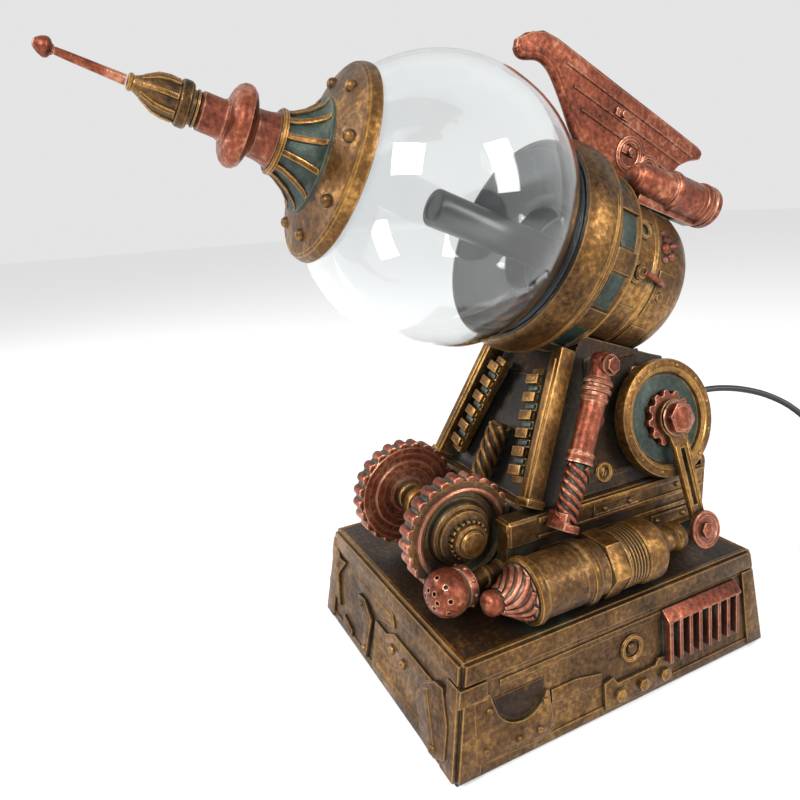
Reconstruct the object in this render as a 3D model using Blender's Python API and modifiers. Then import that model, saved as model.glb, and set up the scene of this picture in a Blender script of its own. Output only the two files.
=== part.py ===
"""Steampunk ray-gun plasma lamp: a glass globe held by a gun-shaped housing on a geared stand.

Every size below is in millimetres; MM turns them to metres. The origin is the centre of the
underside of the felt, +Z is up, the nozzle points to -Y and the flywheel side is +X.
"""
import math

import bmesh
import bpy
from mathutils import Matrix, Vector

MM = 0.001
GAP = 0.3

# Base plinth
FELT_THICK = 1.2
BASE_BOTTOM = FELT_THICK + GAP
BASE_TOP = 55.5
BASE_TOP_HALF = (70.5, 86.5)
BASE_FOOT_HALF = (75.5, 95.5)
BASE_WALL = 4.0
COVER_THICK = 2.6
POST_PLACE = (60.0, 78.0)

# Pedestal block under the tower
PED_BOTTOM = BASE_TOP + GAP
PED_TOP = 96.0
PED_HALF_X = 45.4
PED_WAIST_X = 43.6
PED_WAIST_TOP = 84.0
PED_FRONT = -45.0
PED_BACK = 80.0
GEAR_SLOT_X = (20.5, 34.5)
GEAR_SLOT_BACK = -31.0

# Tower that carries the drum
TOWER_FOOT = PED_TOP + GAP
TOWER_HEAD = 172.0
TOWER_FOOT_HALF_X = 41.0
TOWER_HEAD_HALF_X = 24.0
TOWER_FOOT_Y = (-25.0, 77.0)
TOWER_HEAD_Y = (13.0, 60.0)

# Gun axis: from the globe's centre, tilted up towards the nozzle
GLOBE_CENTRE = Vector((0.0, -50.0, 234.9))
GLOBE_RADIUS = 63.5
GLASS_WALL = 1.6
GUN_TILT = math.radians(22.3)
NECK_RADIUS = 22.0
NECK_END = -74.0
GLOBE_STEPS = 24

# Gear pair on its cross axle
GEAR_AXIS = (-61.6, 89.8)
GEAR_PLACE_X = 27.0
GEAR_THICK = 9.0
GEAR_RADIUS = 28.5
GEAR_TEETH = 24
AXLE_RADIUS = 4.0

# Flywheel on the tower's leaning side
LEAN = math.radians(14.5)
FLY_CENTRE = Vector((45.0, 53.2, 127.1))
FLY_RADIUS = 30.0
FLY_THICK = 7.0
CRANK_DROP = 58.0
CRANK_BACK = 6.5

# Steam cylinder lying on the base
CYL_X = 60.0
CYL_RADIUS = 15.3
CYL_Z = BASE_TOP + GAP + CYL_RADIUS

# Power cord
CORD_RADIUS = 1.75
CORD_EXIT = Vector((16.0, 92.0, 124.0))
COIL_CENTRE = Vector((52.0, 222.0, 0.0))
COIL_MEAN_RADIUS = 20.0
COIL_WIDTH = 14.5
COIL_HEIGHT = 10.4
PLUG_RADIUS = 4.7

PARTS = None
CUTTERS = None


# ---------------------------------------------------------------- scene and materials
def clear_scene():
    for obj in list(bpy.data.objects):
        bpy.data.objects.remove(obj, do_unlink=True)


def make_collection(name):
    collection = bpy.data.collections.new(name)
    bpy.context.scene.collection.children.link(collection)
    return collection


def make_material(name, colour, roughness, metallic, transmission=0.0):
    material = bpy.data.materials.new(name)
    material.use_nodes = True
    shader = material.node_tree.nodes["Principled BSDF"]
    shader.inputs["Base Color"].default_value = (*colour, 1.0)
    shader.inputs["Roughness"].default_value = roughness
    shader.inputs["Metallic"].default_value = metallic
    shader.inputs["Transmission Weight"].default_value = transmission
    return material


FINISHES = {
    "bronze": ((0.28, 0.17, 0.06), 0.45, 0.8),
    "dark_bronze": ((0.10, 0.07, 0.04), 0.55, 0.7),
    "gold": ((0.46, 0.30, 0.10), 0.38, 0.85),
    "copper": ((0.46, 0.16, 0.09), 0.42, 0.75),
    "glass": ((0.92, 0.94, 0.95), 0.03, 0.0, 1.0),
    "black_rubber": ((0.02, 0.022, 0.025), 0.7, 0.0),
    "grey_coat": ((0.13, 0.15, 0.15), 0.3, 0.2),
    "black_plastic": ((0.03, 0.03, 0.03), 0.45, 0.0),
    "felt": ((0.05, 0.05, 0.055), 0.95, 0.0),
    "board": ((0.03, 0.16, 0.07), 0.5, 0.0),
    "steel": ((0.55, 0.55, 0.56), 0.3, 1.0),
}


def finish(obj, kind):
    obj.data.materials.append(make_material(obj.name + "_" + kind, *FINISHES[kind]))
    return obj


# ---------------------------------------------------------------- frames
def place(origin, rotation=None):
    """Matrix in metres for a local frame drawn in millimetres."""
    matrix = Matrix.Translation(Vector(origin) * MM)
    if rotation is not None:
        matrix = matrix @ rotation.to_4x4()
    return matrix


GUN_TURN = Matrix.Rotation(math.pi / 2 - GUN_TILT, 3, "X")
SIDE_TURN = Matrix.Rotation(math.pi / 2 - LEAN, 3, "Y")
ALONG_X = Matrix.Rotation(math.pi / 2, 3, "Y")
ALONG_BACK = Matrix.Rotation(-math.pi / 2, 3, "X")
ACROSS = Matrix(((0, 0, 1, 0), (1, 0, 0, 0), (0, 1, 0, 0), (0, 0, 0, 1)))
GUN = place(GLOBE_CENTRE, GUN_TURN)
SIDE = place(FLY_CENTRE, SIDE_TURN)


def gun_point(side, up, along):
    """World point in millimetres from gun coordinates: +X side, up from the axis, towards the nozzle."""
    return GLOBE_CENTRE + GUN_TURN @ Vector((side, up, along))


def aim(start, end, side=Vector((1.0, 0.0, 0.0))):
    """Frame at start whose Z runs to end and whose X stays close to the given side."""
    z_axis = (Vector(end) - Vector(start)).normalized()
    y_axis = z_axis.cross(side).normalized()
    x_axis = y_axis.cross(z_axis)
    turn = Matrix((x_axis, y_axis, z_axis)).transposed()
    return place(start, turn)


# ---------------------------------------------------------------- shapes
def add_object(name, data, matrix=None, collection=None):
    obj = bpy.data.objects.new(name, data)
    (collection or PARTS).objects.link(obj)
    if matrix is not None:
        obj.matrix_world = matrix
    return obj


def mesh_from(bm, name):
    mesh = bpy.data.meshes.new(name)
    bm.to_mesh(mesh)
    bm.free()
    return mesh


def turned(name, profile, matrix, steps=32, closed=False, collection=None):
    """Screw a profile of (radius, height) in millimetres, running top to bottom, about local Z."""
    bm = bmesh.new()
    verts = [bm.verts.new((radius * MM, 0.0, height * MM)) for radius, height in profile]
    for first, second in zip(verts, verts[1:]):
        bm.edges.new((first, second))
    if closed:
        bm.edges.new((verts[-1], verts[0]))
    obj = add_object(name, mesh_from(bm, name), matrix, collection)
    screw = obj.modifiers.new("Turn", "SCREW")
    screw.steps = steps
    screw.render_steps = steps
    screw.use_merge_vertices = True
    screw.merge_threshold = 0.00001
    screw.use_smooth_shade = True
    return obj


def tapered_box(name, foot, head, low, high, collection=None):
    """Box between two rectangles ((x0, x1), (y0, y1)) at heights low and high."""
    bm = bmesh.new()
    bmesh.ops.create_cube(bm, size=2.0)
    for vert in bm.verts:
        (x0, x1), (y0, y1) = foot if vert.co.z < 0 else head
        x = x0 if vert.co.x < 0 else x1
        y = y0 if vert.co.y < 0 else y1
        z = low if vert.co.z < 0 else high
        vert.co = Vector((x, y, z)) * MM
    return add_object(name, mesh_from(bm, name), None, collection)


def box(name, low, high, matrix=None, collection=None):
    obj = tapered_box(name, *[((low[0], high[0]), (low[1], high[1]))] * 2, low[2], high[2], collection)
    if matrix is not None:
        obj.matrix_world = matrix
    return obj


def plate(name, outline, low, high, matrix, holes=(), collection=None):
    """Flat outline with round or shaped holes, extruded from low to high along local Z."""
    curve = bpy.data.curves.new(name, "CURVE")
    curve.dimensions = "2D"
    curve.fill_mode = "BOTH"
    curve.extrude = (high - low) / 2 * MM
    for loop in (outline, *holes):
        spline = curve.splines.new("POLY")
        spline.points.add(len(loop) - 1)
        spline.use_cyclic_u = True
        for target, (x, y) in zip(spline.points, loop):
            target.co = (x * MM, y * MM, 0.0, 1.0)
    drawn = add_object(name + "_outline", curve)
    bm = bmesh.new()
    bm.from_mesh(bpy.data.meshes.new_from_object(drawn))
    bpy.data.objects.remove(drawn, do_unlink=True)
    bmesh.ops.remove_doubles(bm, verts=bm.verts, dist=0.000001)
    bmesh.ops.translate(bm, verts=bm.verts, vec=(0.0, 0.0, (high + low) / 2 * MM))
    if not holes:
        bmesh.ops.dissolve_limit(bm, angle_limit=0.001, verts=bm.verts, edges=bm.edges)
    bmesh.ops.recalc_face_normals(bm, faces=bm.faces)
    return add_object(name, mesh_from(bm, name), matrix, collection)


def circle_outline(radius, count, start=0.0, centre=(0.0, 0.0)):
    step = 2 * math.pi / count
    angles = [start + step * i for i in range(count)]
    return [(centre[0] + radius * math.cos(a), centre[1] + radius * math.sin(a)) for a in angles]


def gear_outline(root, tip, teeth):
    """Lumpy teeth with pointed valleys: three points a tooth."""
    outline = []
    pitch = 2 * math.pi / teeth
    for tooth in range(teeth):
        for share, radius in ((-0.5, root), (-0.22, tip), (0.22, tip)):
            angle = pitch * (tooth + share)
            outline.append((radius * math.cos(angle), radius * math.sin(angle)))
    return outline


def bevel(obj, width, segments=1, angle=50.0):
    modifier = obj.modifiers.new("Edges", "BEVEL")
    modifier.width = width * MM
    modifier.segments = segments
    modifier.limit_method = "ANGLE"
    modifier.angle_limit = math.radians(angle)
    modifier.use_clamp_overlap = True
    return obj


def hide_cutter(cutter):
    cutter.hide_render = True
    cutter.display_type = "WIRE"
    return cutter


def combine(obj, tool, operation):
    modifier = obj.modifiers.new(operation.title(), "BOOLEAN")
    modifier.operation = operation
    modifier.object = hide_cutter(tool)
    return obj


def cut(obj, tool):
    return combine(obj, tool, "DIFFERENCE")


def join(obj, tool):
    return combine(obj, tool, "UNION")


def bore(name, radius, low, high, matrix, steps=16):
    return turned(name, [(0, high), (radius, high), (radius, low), (0, low)], matrix, steps, collection=CUTTERS)


def smooth_points(points, per_span):
    """Catmull-Rom curve through hand-chosen points."""
    points = [Vector(p) for p in points]
    ends = [2 * points[0] - points[1]] + points + [2 * points[-1] - points[-2]]
    result = []
    for i in range(1, len(ends) - 2):
        before, start, end, after = ends[i - 1 : i + 3]
        for step in range(per_span):
            t = step / per_span
            linear = (end - before) * t
            square = (2 * before - 5 * start + 4 * end - after) * t * t
            cube = (3 * start - before - 3 * end + after) * t ** 3
            result.append(start + 0.5 * (linear + square + cube))
    result.append(points[-1])
    return result


def tube(name, points, radius):
    curve = bpy.data.curves.new(name, "CURVE")
    curve.dimensions = "3D"
    curve.bevel_depth = radius * MM
    curve.bevel_resolution = 2
    curve.use_fill_caps = True
    curve.render_resolution_u = 0
    spline = curve.splines.new("POLY")
    spline.points.add(len(points) - 1)
    for target, point in zip(spline.points, points):
        target.co = (*(point * MM), 1.0)
    return add_object(name, curve)


# ---------------------------------------------------------------- base
def wall_inset(height):
    """Half sizes of the base's outside at a height."""
    share = (height - BASE_BOTTOM) / (BASE_TOP - BASE_BOTTOM)
    return [foot + (top - foot) * share for foot, top in zip(BASE_FOOT_HALF, BASE_TOP_HALF)]


def centred(half):
    return (-half[0], half[0]), (-half[1], half[1])


SWITCH_HEIGHT = 26.0
SWITCH_X = -38.0
ROCKER_TILT = math.radians(10)
BACK_LEAN = math.atan2(BASE_FOOT_HALF[1] - BASE_TOP_HALF[1], BASE_TOP - BASE_BOTTOM)
SWITCH_AXES = Matrix((
    (-1.0, 0.0, 0.0),
    (0.0, -math.sin(BACK_LEAN), math.cos(BACK_LEAN)),
    (0.0, math.cos(BACK_LEAN), math.sin(BACK_LEAN)),
)).transposed()
SWITCH = place((SWITCH_X, wall_inset(SWITCH_HEIGHT)[1], SWITCH_HEIGHT), SWITCH_AXES)


def base_shell():
    shell = tapered_box("base_shell", centred(BASE_FOOT_HALF), centred(BASE_TOP_HALF), BASE_BOTTOM, BASE_TOP)
    inner_foot = [half - BASE_WALL for half in wall_inset(BASE_BOTTOM)]
    inner_top = [half - BASE_WALL for half in BASE_TOP_HALF]
    hollow = tapered_box(
        "cut_base_hollow", centred(inner_foot), centred(inner_top), BASE_BOTTOM - 0.01, BASE_TOP - BASE_WALL, CUTTERS
    )
    bevel(shell, 1.5)
    cut(shell, hollow)
    cut(shell, bore("cut_base_duct", 11.0, 40.0, 60.0, place((0, 20, 0))))
    cut(shell, box("cut_switch_window", (-10.2, -6.7, -20), (10.2, 6.7, 20), SWITCH, CUTTERS))
    for index, (x, y) in enumerate(post_places()):
        join(shell, bore(f"add_post_{index}", 4.0, BASE_BOTTOM + COVER_THICK + GAP, BASE_TOP - 2, place((x, y, 0)), 8))
        cut(shell, bore(f"cut_post_{index}", 1.8, BASE_BOTTOM, 18.0, place((x, y, 0)), 8))
    return finish(shell, "bronze")


def post_places():
    x, y = POST_PLACE
    return [(-x, -y), (x, -y), (x, y), (-x, y)]


def base_cover():
    half = [value - BASE_WALL - 0.8 for value in wall_inset(BASE_BOTTOM + COVER_THICK)]
    cover = box("base_cover", (-half[0], -half[1], BASE_BOTTOM), (half[0], half[1], BASE_BOTTOM + COVER_THICK))
    for index, (x, y) in enumerate(post_places()):
        steps = [(0, 8), (1.9, 8), (1.9, BASE_BOTTOM + 1.6), (3.6, BASE_BOTTOM + 1.6), (3.6, 0), (0, 0)]
        cut(cover, turned(f"cut_cover_hole_{index}", steps, place((x, y, 0)), 8, collection=CUTTERS))
    for index, (x, y) in enumerate(board_posts()):
        join(cover, bore(f"add_standoff_{index}", 3.0, BASE_BOTTOM + 1, BOARD_BOTTOM - GAP, place((x, y, 0)), 8))
    return finish(cover, "black_plastic")


def felt_pad():
    half = (BASE_FOOT_HALF[0] - 1, BASE_FOOT_HALF[1] - 1)
    return finish(box("felt_pad", (-half[0], -half[1], 0), (half[0], half[1], FELT_THICK)), "felt")


# ---------------------------------------------------------------- electronics
BOARD_BOTTOM = 12.0
BOARD_THICK = 1.6
BOARD_HALF = (36.0, 27.0)
BOARD_Y = 18.0
BOARD_TOP = BOARD_BOTTOM + BOARD_THICK


def board_posts():
    return [(x, BOARD_Y + y) for x in (-30, 30) for y in (-21, 21)]


def electronics():
    low = (-BOARD_HALF[0], BOARD_Y - BOARD_HALF[1], BOARD_BOTTOM)
    high = (BOARD_HALF[0], BOARD_Y + BOARD_HALF[1], BOARD_TOP)
    finish(box("driver_board", low, high), "board")
    seat = BOARD_TOP + GAP
    core = box("hv_transformer", (-14, BOARD_Y - 13, seat), (14, BOARD_Y + 13, seat + 22))
    finish(bevel(core, 1.5), "black_plastic")
    can = [(0, 14), (4.6, 14), (5, 13.4), (5, 0), (0, 0)]
    finish(turned("filter_capacitor", can, place((26, BOARD_Y + 10, seat)), 16), "black_plastic")


def power_switch():
    body = box("switch_housing", (-9.9, -6.4, -16), (9.9, 6.4, 1.0), SWITCH)
    join(body, box("add_switch_flange", (-11.6, -8.1, 0.3), (11.6, 8.1, 2.0), SWITCH, CUTTERS))
    cut(body, box("cut_switch_well", (-8.0, -4.9, -9.5), (8.0, 4.9, 6.0), SWITCH, CUTTERS))
    finish(body, "black_plastic")
    outline = [(-7.2, 2.3), (-6.6, -3.2), (0, -6.4), (6.6, -3.2), (7.2, 2.3), (0, 1.6)]
    tip = Matrix.Rotation(ROCKER_TILT, 4, "Y") @ Matrix.Rotation(math.pi / 2, 4, "X")
    rocker = plate("switch_rocker", outline, -4.3, 4.3, SWITCH @ tip)
    return finish(bevel(rocker, 0.3), "black_plastic")


def hv_lead():
    route = [(0, BOARD_Y, 36.5), (0, 20, 60), (0, 26, 100), (0, 30, 140), (0, 30, 175), gun_point(0, 0, -93)]
    points = smooth_points(route, 3)
    finish(tube("hv_lead", points, 1.5), "black_plastic")


# ---------------------------------------------------------------- pedestal and tower
def pedestal():
    slot_low, slot_high = GEAR_SLOT_X
    right = [
        (slot_low, PED_FRONT), (slot_low, GEAR_SLOT_BACK), (slot_high, GEAR_SLOT_BACK), (slot_high, PED_FRONT),
        (PED_HALF_X, PED_FRONT), (PED_HALF_X, PED_BACK),
    ]
    outline = right + [(-x, y) for x, y in reversed(right)]
    block = plate("pedestal", outline, PED_BOTTOM, PED_TOP, place((0, 0, 0)))
    bevel(block, 1.2)
    for side, word in ((1, "right"), (-1, "left")):
        low, high = sorted((side * PED_WAIST_X, side * 60))
        recess = box(f"cut_waist_{word}", (low, -60, 50), (high, 100, PED_WAIST_TOP), None, CUTTERS)
        cut(block, recess)
    cut(block, box("cut_pedestal_hollow", (-36, -23, PED_BOTTOM - 1), (36, PED_BACK - 8, PED_TOP - 8), None, CUTTERS))
    cut(block, bore("cut_pedestal_duct", 11.0, 80.0, 100.0, place((0, 26, 0))))
    return finish(block, "bronze")


def drum_clearance(name):
    profile = [(0, -40), (53, -40), (53, -64), (47.8, -64.2), (47.8, -82.4), (42.3, -82.6), (42.3, -136), (0, -136.2)]
    return turned(name, profile, GUN, 30, collection=CUTTERS)


def tower_line(low, high, height):
    """A size that runs straight from the tower's foot to its head."""
    return low + (high - low) * (height - TOWER_FOOT) / (TOWER_HEAD - TOWER_FOOT)


def tower_back(height):
    return tower_line(TOWER_FOOT_Y[1], TOWER_HEAD_Y[1], height)


def tower_body():
    foot_x = (-TOWER_FOOT_HALF_X, TOWER_FOOT_HALF_X)
    head_x = (-TOWER_HEAD_HALF_X, TOWER_HEAD_HALF_X)
    tower = tapered_box("tower_body", (foot_x, TOWER_FOOT_Y), (head_x, TOWER_HEAD_Y), TOWER_FOOT, TOWER_HEAD)
    cut(tower, drum_clearance("cut_tower_cradle"))
    wall = 7.0
    inner_foot = ((foot_x[0] + wall, foot_x[1] - wall), (TOWER_FOOT_Y[0] + wall, TOWER_FOOT_Y[1] - wall))
    inner_head = ((head_x[0] + wall, head_x[1] - wall), (TOWER_HEAD_Y[0] + wall, TOWER_HEAD_Y[1] - wall))
    hollow = tapered_box("cut_tower_hollow", inner_foot, inner_head, TOWER_FOOT - 1, TOWER_HEAD, CUTTERS)
    cut(tower, hollow)
    cut(tower, bore("cut_gland_hole", 5.6, 40, 100, place((CORD_EXIT.x, 0, CORD_EXIT.z), ALONG_BACK)))
    return finish(tower, "dark_bronze")


BEAM_FOOT = Vector((41.5, -32.0, PED_TOP + GAP))
BEAM_HEAD = Vector((26.5, 1.5, 167.0))
RACK_FOOT = Vector((28.0, -27.3, 106.0))
RACK_HEAD = Vector((15.5, -4.0, 156.0))


def mirrored(point, side):
    return Vector((point[0] * side, point[1], point[2]))


def beams():
    for side, word in ((1, "right"), (-1, "left")):
        start, end = mirrored(BEAM_FOOT, side), mirrored(BEAM_HEAD, side)
        length = (end - start).length
        beam = box(f"front_beam_{word}", (-3.5, -4.5, 3.2), (3.5, 4.5, length), aim(start, end))
        finish(bevel(beam, 0.8), "gold")


def racks():
    pitch = 9.0
    for side, word in ((1, "right"), (-1, "left")):
        start, end = mirrored(RACK_FOOT, side), mirrored(RACK_HEAD, side)
        length = (end - start).length
        outline = [(3.4, 0.0), (3.4, length)]
        count = int(length // pitch)
        for tooth in reversed(range(count)):
            middle = pitch * (tooth + 0.5) + (length - count * pitch) / 2
            outline += [(-1.2, middle + 2.7), (-4.2, middle + 2.3), (-4.2, middle - 2.3), (-1.2, middle - 2.7)]
        outline = [(-1.2, length) if point == (3.4, length) else point for point in outline]
        outline = [(3.4, 0.0), (3.4, length)] + outline[1:] + [(-1.2, 0.0)]
        stand = aim(start, end) @ Matrix.Rotation(math.pi / 2, 4, "Y") @ Matrix.Rotation(math.pi / 2, 4, "Z")
        finish(plate(f"climbing_rack_{word}", outline, -4.0, 4.0, stand), "gold")


def centre_spring():
    start, end = Vector((0, -31.2, PED_TOP + 3.4)), Vector((0, -17.4, 127.0))
    length = (end - start).length
    profile = [(0, length), (6.0, length), (6.0, 0), (0, 0)]
    return finish(turned("centre_spring", profile, aim(start, end), 12), "gold")


SHOCK_HEAD = Vector((38.5, 14.5, 160.0))
SHOCK_FOOT = Vector((53.2, -21.5, 89.5))


def shocks():
    for side, word in ((1, "right"), (-1, "left")):
        start, end = mirrored(SHOCK_HEAD, side), mirrored(SHOCK_FOOT, side)
        frame = aim(start, end)
        length = (end - start).length
        tube_end = 0.60 * length
        body = [
            (0, tube_end), (6.6, tube_end), (6.6, tube_end - 5), (5.6, tube_end - 5), (5.6, 13), (7.0, 12.0),
            (7.0, 9.5), (5.0, 8.0), (5.0, 2.0), (6.2, -1.0), (4.0, -5.5), (0, -5.5),
        ]
        finish(turned(f"shock_tube_{word}", body, frame, 12), "copper")
        low = tube_end + GAP
        spring = [(0, length), (5.2, length), (5.8, length - 4), (5.8, low), (0, low)]
        finish(turned(f"shock_spring_{word}", spring, frame, 12), "copper")


# ---------------------------------------------------------------- drum, globe and electrode
def drum_body():
    """Cup-shaped housing: from the inner pole along the inside, round the lip and back outside."""
    inner = [(0, -129.5), (25, -127.5), (36, -114), (36, -86), (42.5, -80), (42.5, -63.4)]
    outer = [
        (46.5, -63.4), (46.9, -80.5), (40.4, -82), (40.4, -98), (41.3, -98.5), (41.3, -100.5), (40.4, -101),
        (40.4, -116), (38.6, -122), (34, -128), (22, -133), (0, -134.4),
    ]
    body = turned("drum_body", inner + outer, GUN, 24)
    cut(body, bore("cut_drum_duct", 6.0, -30, 30, place((0, 30, 170)), 12))
    return finish(body, "gold")


def rim_and_seal():
    rim = [
        (46.2, -45.6), (49.6, -45.6), (51.0, -48), (52.0, -54), (52.0, -61), (50.8, -63), (46.0, -63), (46.0, -58),
    ]
    finish(turned("drum_rim", rim, GUN, GLOBE_STEPS, closed=True), "gold")
    inner_low, inner_high = sphere_radius(-52.0) + 0.6, sphere_radius(-45.0) + 0.6
    seal = [(inner_high, -45.0), (45.8, -45.0), (45.8, -57.0), (43.5, -57.0), (inner_low, -52.0)]
    finish(turned("globe_seal", seal, GUN, GLOBE_STEPS, closed=True), "black_rubber")


def sphere_radius(height, radius=GLOBE_RADIUS):
    return math.sqrt(radius * radius - height * height)


def sphere_arc(radius, top, bottom, count):
    """Profile points on a sphere between two heights, from top down."""
    first, last = math.acos(top / radius), math.acos(bottom / radius)
    angles = [first + (last - first) * i / count for i in range(count + 1)]
    return [(radius * math.sin(a), radius * math.cos(a)) for a in angles]


def glass_globe():
    inner_radius = GLOBE_RADIUS - GLASS_WALL
    mouth = -math.sqrt(GLOBE_RADIUS ** 2 - NECK_RADIUS ** 2)
    inner_mouth = -math.sqrt(inner_radius ** 2 - (NECK_RADIUS - GLASS_WALL) ** 2)
    outer = [(0.0, GLOBE_RADIUS)] + sphere_arc(GLOBE_RADIUS, GLOBE_RADIUS, mouth, 10)[1:]
    inner = sphere_arc(inner_radius, inner_radius, inner_mouth, 7)[1:]
    neck = [(NECK_RADIUS, NECK_END), (NECK_RADIUS - GLASS_WALL, NECK_END)]
    profile = outer + neck + inner[::-1] + [(0.0, inner_radius)]
    return finish(turned("glass_globe", profile, GUN, GLOBE_STEPS), "glass")


ELECTRODE_RADIUS = 8.6


def electrode_parts():
    tip, wall, foot = 1.5, 1.4, -76.0
    post = [
        (0, tip), (ELECTRODE_RADIUS - 1.2, tip), (ELECTRODE_RADIUS, tip - 1.4), (ELECTRODE_RADIUS, foot),
        (ELECTRODE_RADIUS - wall, foot), (ELECTRODE_RADIUS - wall, tip - wall), (0, tip - wall),
    ]
    finish(turned("electrode", post, GUN, 16), "grey_coat")
    cup_in, cup_out = GLOBE_RADIUS + 0.5, GLOBE_RADIUS + 2.3
    face = sphere_arc(cup_in, -53.5, -57.0, 2)
    back = sphere_arc(cup_out, -55.5, -58.4, 2)
    cup = face + [(NECK_RADIUS + 0.6, -62), (NECK_RADIUS + 0.6, -72), (NECK_RADIUS + 3, -72), (NECK_RADIUS + 3, -63)]
    finish(turned("globe_cup", (cup + back[::-1])[::-1], GUN, GLOBE_STEPS, closed=True), "grey_coat")
    boot = [
        (NECK_RADIUS + 2.6, NECK_END + 1.7), (NECK_RADIUS + 2.6, NECK_END - 4), (10, NECK_END - 8), (6, NECK_END - 17),
        (2.0, NECK_END - 17), (2.0, NECK_END - 6), (9.0, NECK_END - 5.6), (9.0, NECK_END - 0.4),
        (NECK_RADIUS + 0.4, NECK_END - 0.4), (NECK_RADIUS + 0.4, NECK_END + 1.7),
    ]
    finish(turned("electrode_boot", boot, GUN, GLOBE_STEPS, closed=True), "black_rubber")


# ---------------------------------------------------------------- nozzle
def nozzle():
    clear = GLOBE_RADIUS + 0.35
    seat = sphere_arc(clear, 58.5, 51.0, 3)
    flange = [(21.8, 60.3), (24.5, 60.3), (31, 58.3), (37, 56), (40.4, 53.4), (41.0, 51.0), (40.0, 50.0)]
    flange += seat[::-1]
    finish(turned("nozzle_flange", flange, GUN, GLOBE_STEPS, closed=True), "gold")
    bell = [
        (0, 77), (11.2, 77), (12.4, 75.5), (13.2, 73), (16.4, 68), (20.4, 63.6), (23.4, 62.8), (23.6, 60.9),
        (19.8, 61.1), (12, 63.4), (0, 64.5),
    ]
    finish(turned("nozzle_bell", bell, GUN, 20), "bronze")
    neck = [
        (0, 106.4), (6.0, 106.4), (7.4, 95.8), (11.0, 95.4), (14.4, 94.0), (15.9, 91.2), (14.6, 88.2), (11.2, 86.6),
        (9.3, 86.2), (9.3, 84), (10.4, 78.5), (10.4, 77.3), (0, 77.3),
    ]
    finish(turned("nozzle_neck", neck, GUN, 16), "copper")
    sleeve = [
        (0, 131), (3.0, 131), (3.6, 128), (6.6, 122), (7.6, 118), (7.8, 113.5), (8.6, 113), (8.6, 109.4),
        (6.2, 109), (6.2, 106.7), (0, 106.7),
    ]
    finish(turned("nozzle_sleeve", sleeve, GUN, 14), "bronze")
    rod = [(0, 154), (1.4, 154), (1.9, 131.3), (0, 131.3)]
    finish(turned("nozzle_rod", rod, GUN, 8), "copper")
    bead = [(0, 160.8), (2.2, 159.8), (3.4, 157.4), (3.4, 156.2), (1.5, 154.3), (0, 154.3)]
    finish(turned("nozzle_tip", bead, GUN, 10), "copper")


# ---------------------------------------------------------------- fin and scope
def tail_fin():
    outline = [
        (-84.6, 42.4), (-124, 41.8), (-129, 64), (-134, 70), (-146, 77), (-146.5, 80.5), (-143, 82), (-36, 91),
        (-24, 90), (-15, 82), (-16, 77), (-21, 76.5), (-29, 81), (-38, 79), (-50, 69.5), (-63, 57.6), (-76, 52),
        (-83.0, 48.2),
    ]
    points = [(up, along) for along, up in outline]
    fin = plate("tail_fin", points, -2.6, 2.6, GUN @ ACROSS)
    return finish(bevel(fin, 1.0), "copper")


def scope():
    front, rear = gun_point(23, 43.8, -83), gun_point(23, 46.8, -138)
    frame = aim(front, rear)
    length = (rear - front).length
    body = [
        (0, length), (8.5, length), (10.6, length - 1.5), (10.6, length - 8.7), (9.4, length - 9.2), (9.4, length - 27),
        (10.0, length - 28), (10.0, length - 31), (8.2, length - 32), (7.6, 4), (6.0, 1), (3.5, 0), (0, 0),
    ]
    return finish(turned("scope_body", body, frame, 14), "copper")


# ---------------------------------------------------------------- gear pair
def gear_pair():
    for side, word in ((1, "right"), (-1, "left")):
        axis = place((side * GEAR_PLACE_X, *GEAR_AXIS), ALONG_X if side > 0 else Matrix.Rotation(-math.pi / 2, 3, "Y"))
        outline = gear_outline(GEAR_RADIUS - 2.4, GEAR_RADIUS, GEAR_TEETH)
        hole = circle_outline(AXLE_RADIUS + GAP, 16)
        wheel = plate(f"gear_wheel_{word}", outline, -GEAR_THICK / 2, GEAR_THICK / 2, axis, [hole])
        dish = [(0, 9), (21, 9), (19.5, GEAR_THICK / 2 - 3), (0, GEAR_THICK / 2 - 3)]
        cut(wheel, turned(f"cut_gear_dish_{word}", dish, axis, 20, collection=CUTTERS))
        finish(wheel, "copper")
        hub_face = GEAR_THICK / 2 - 3 + GAP
        hub = [
            (AXLE_RADIUS + GAP, hub_face + 12), (7.6, hub_face + 12), (8.6, hub_face + 10.5), (8.6, hub_face + 6),
            (13, hub_face + 5.4), (15.4, hub_face + 3), (15.8, hub_face), (AXLE_RADIUS + GAP, hub_face),
        ]
        finish(turned(f"gear_hub_{word}", hub, axis, 16, closed=True), "bronze")
    reach = GEAR_PLACE_X + GEAR_THICK / 2 - 3 + GAP + 12.3
    half = [(0, reach + 1.5), (5.4, reach + 0.8), (6.0, reach), (AXLE_RADIUS, reach)]
    profile = half + [(radius, -height) for radius, height in reversed(half)]
    finish(turned("gear_axle", profile, place((0, *GEAR_AXIS), ALONG_X), 16), "gold")


def axle_bearing():
    """Pillow block between the two gears, standing out from the pedestal's front."""
    y, z = GEAR_AXIS
    reach = PED_FRONT - GAP - y
    outline = [(reach, -10.0), (reach, 6.0)] + [
        (8.5 * math.cos(math.radians(a)), 8.5 * math.sin(math.radians(a))) for a in range(60, 301, 24)
    ]
    frame = place((0, y, z)) @ ACROSS
    block = plate("axle_bearing", outline, -12.0, 12.0, frame, [circle_outline(AXLE_RADIUS + GAP, 16)])
    return finish(bevel(block, 0.6, angle=60), "gold")


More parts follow.
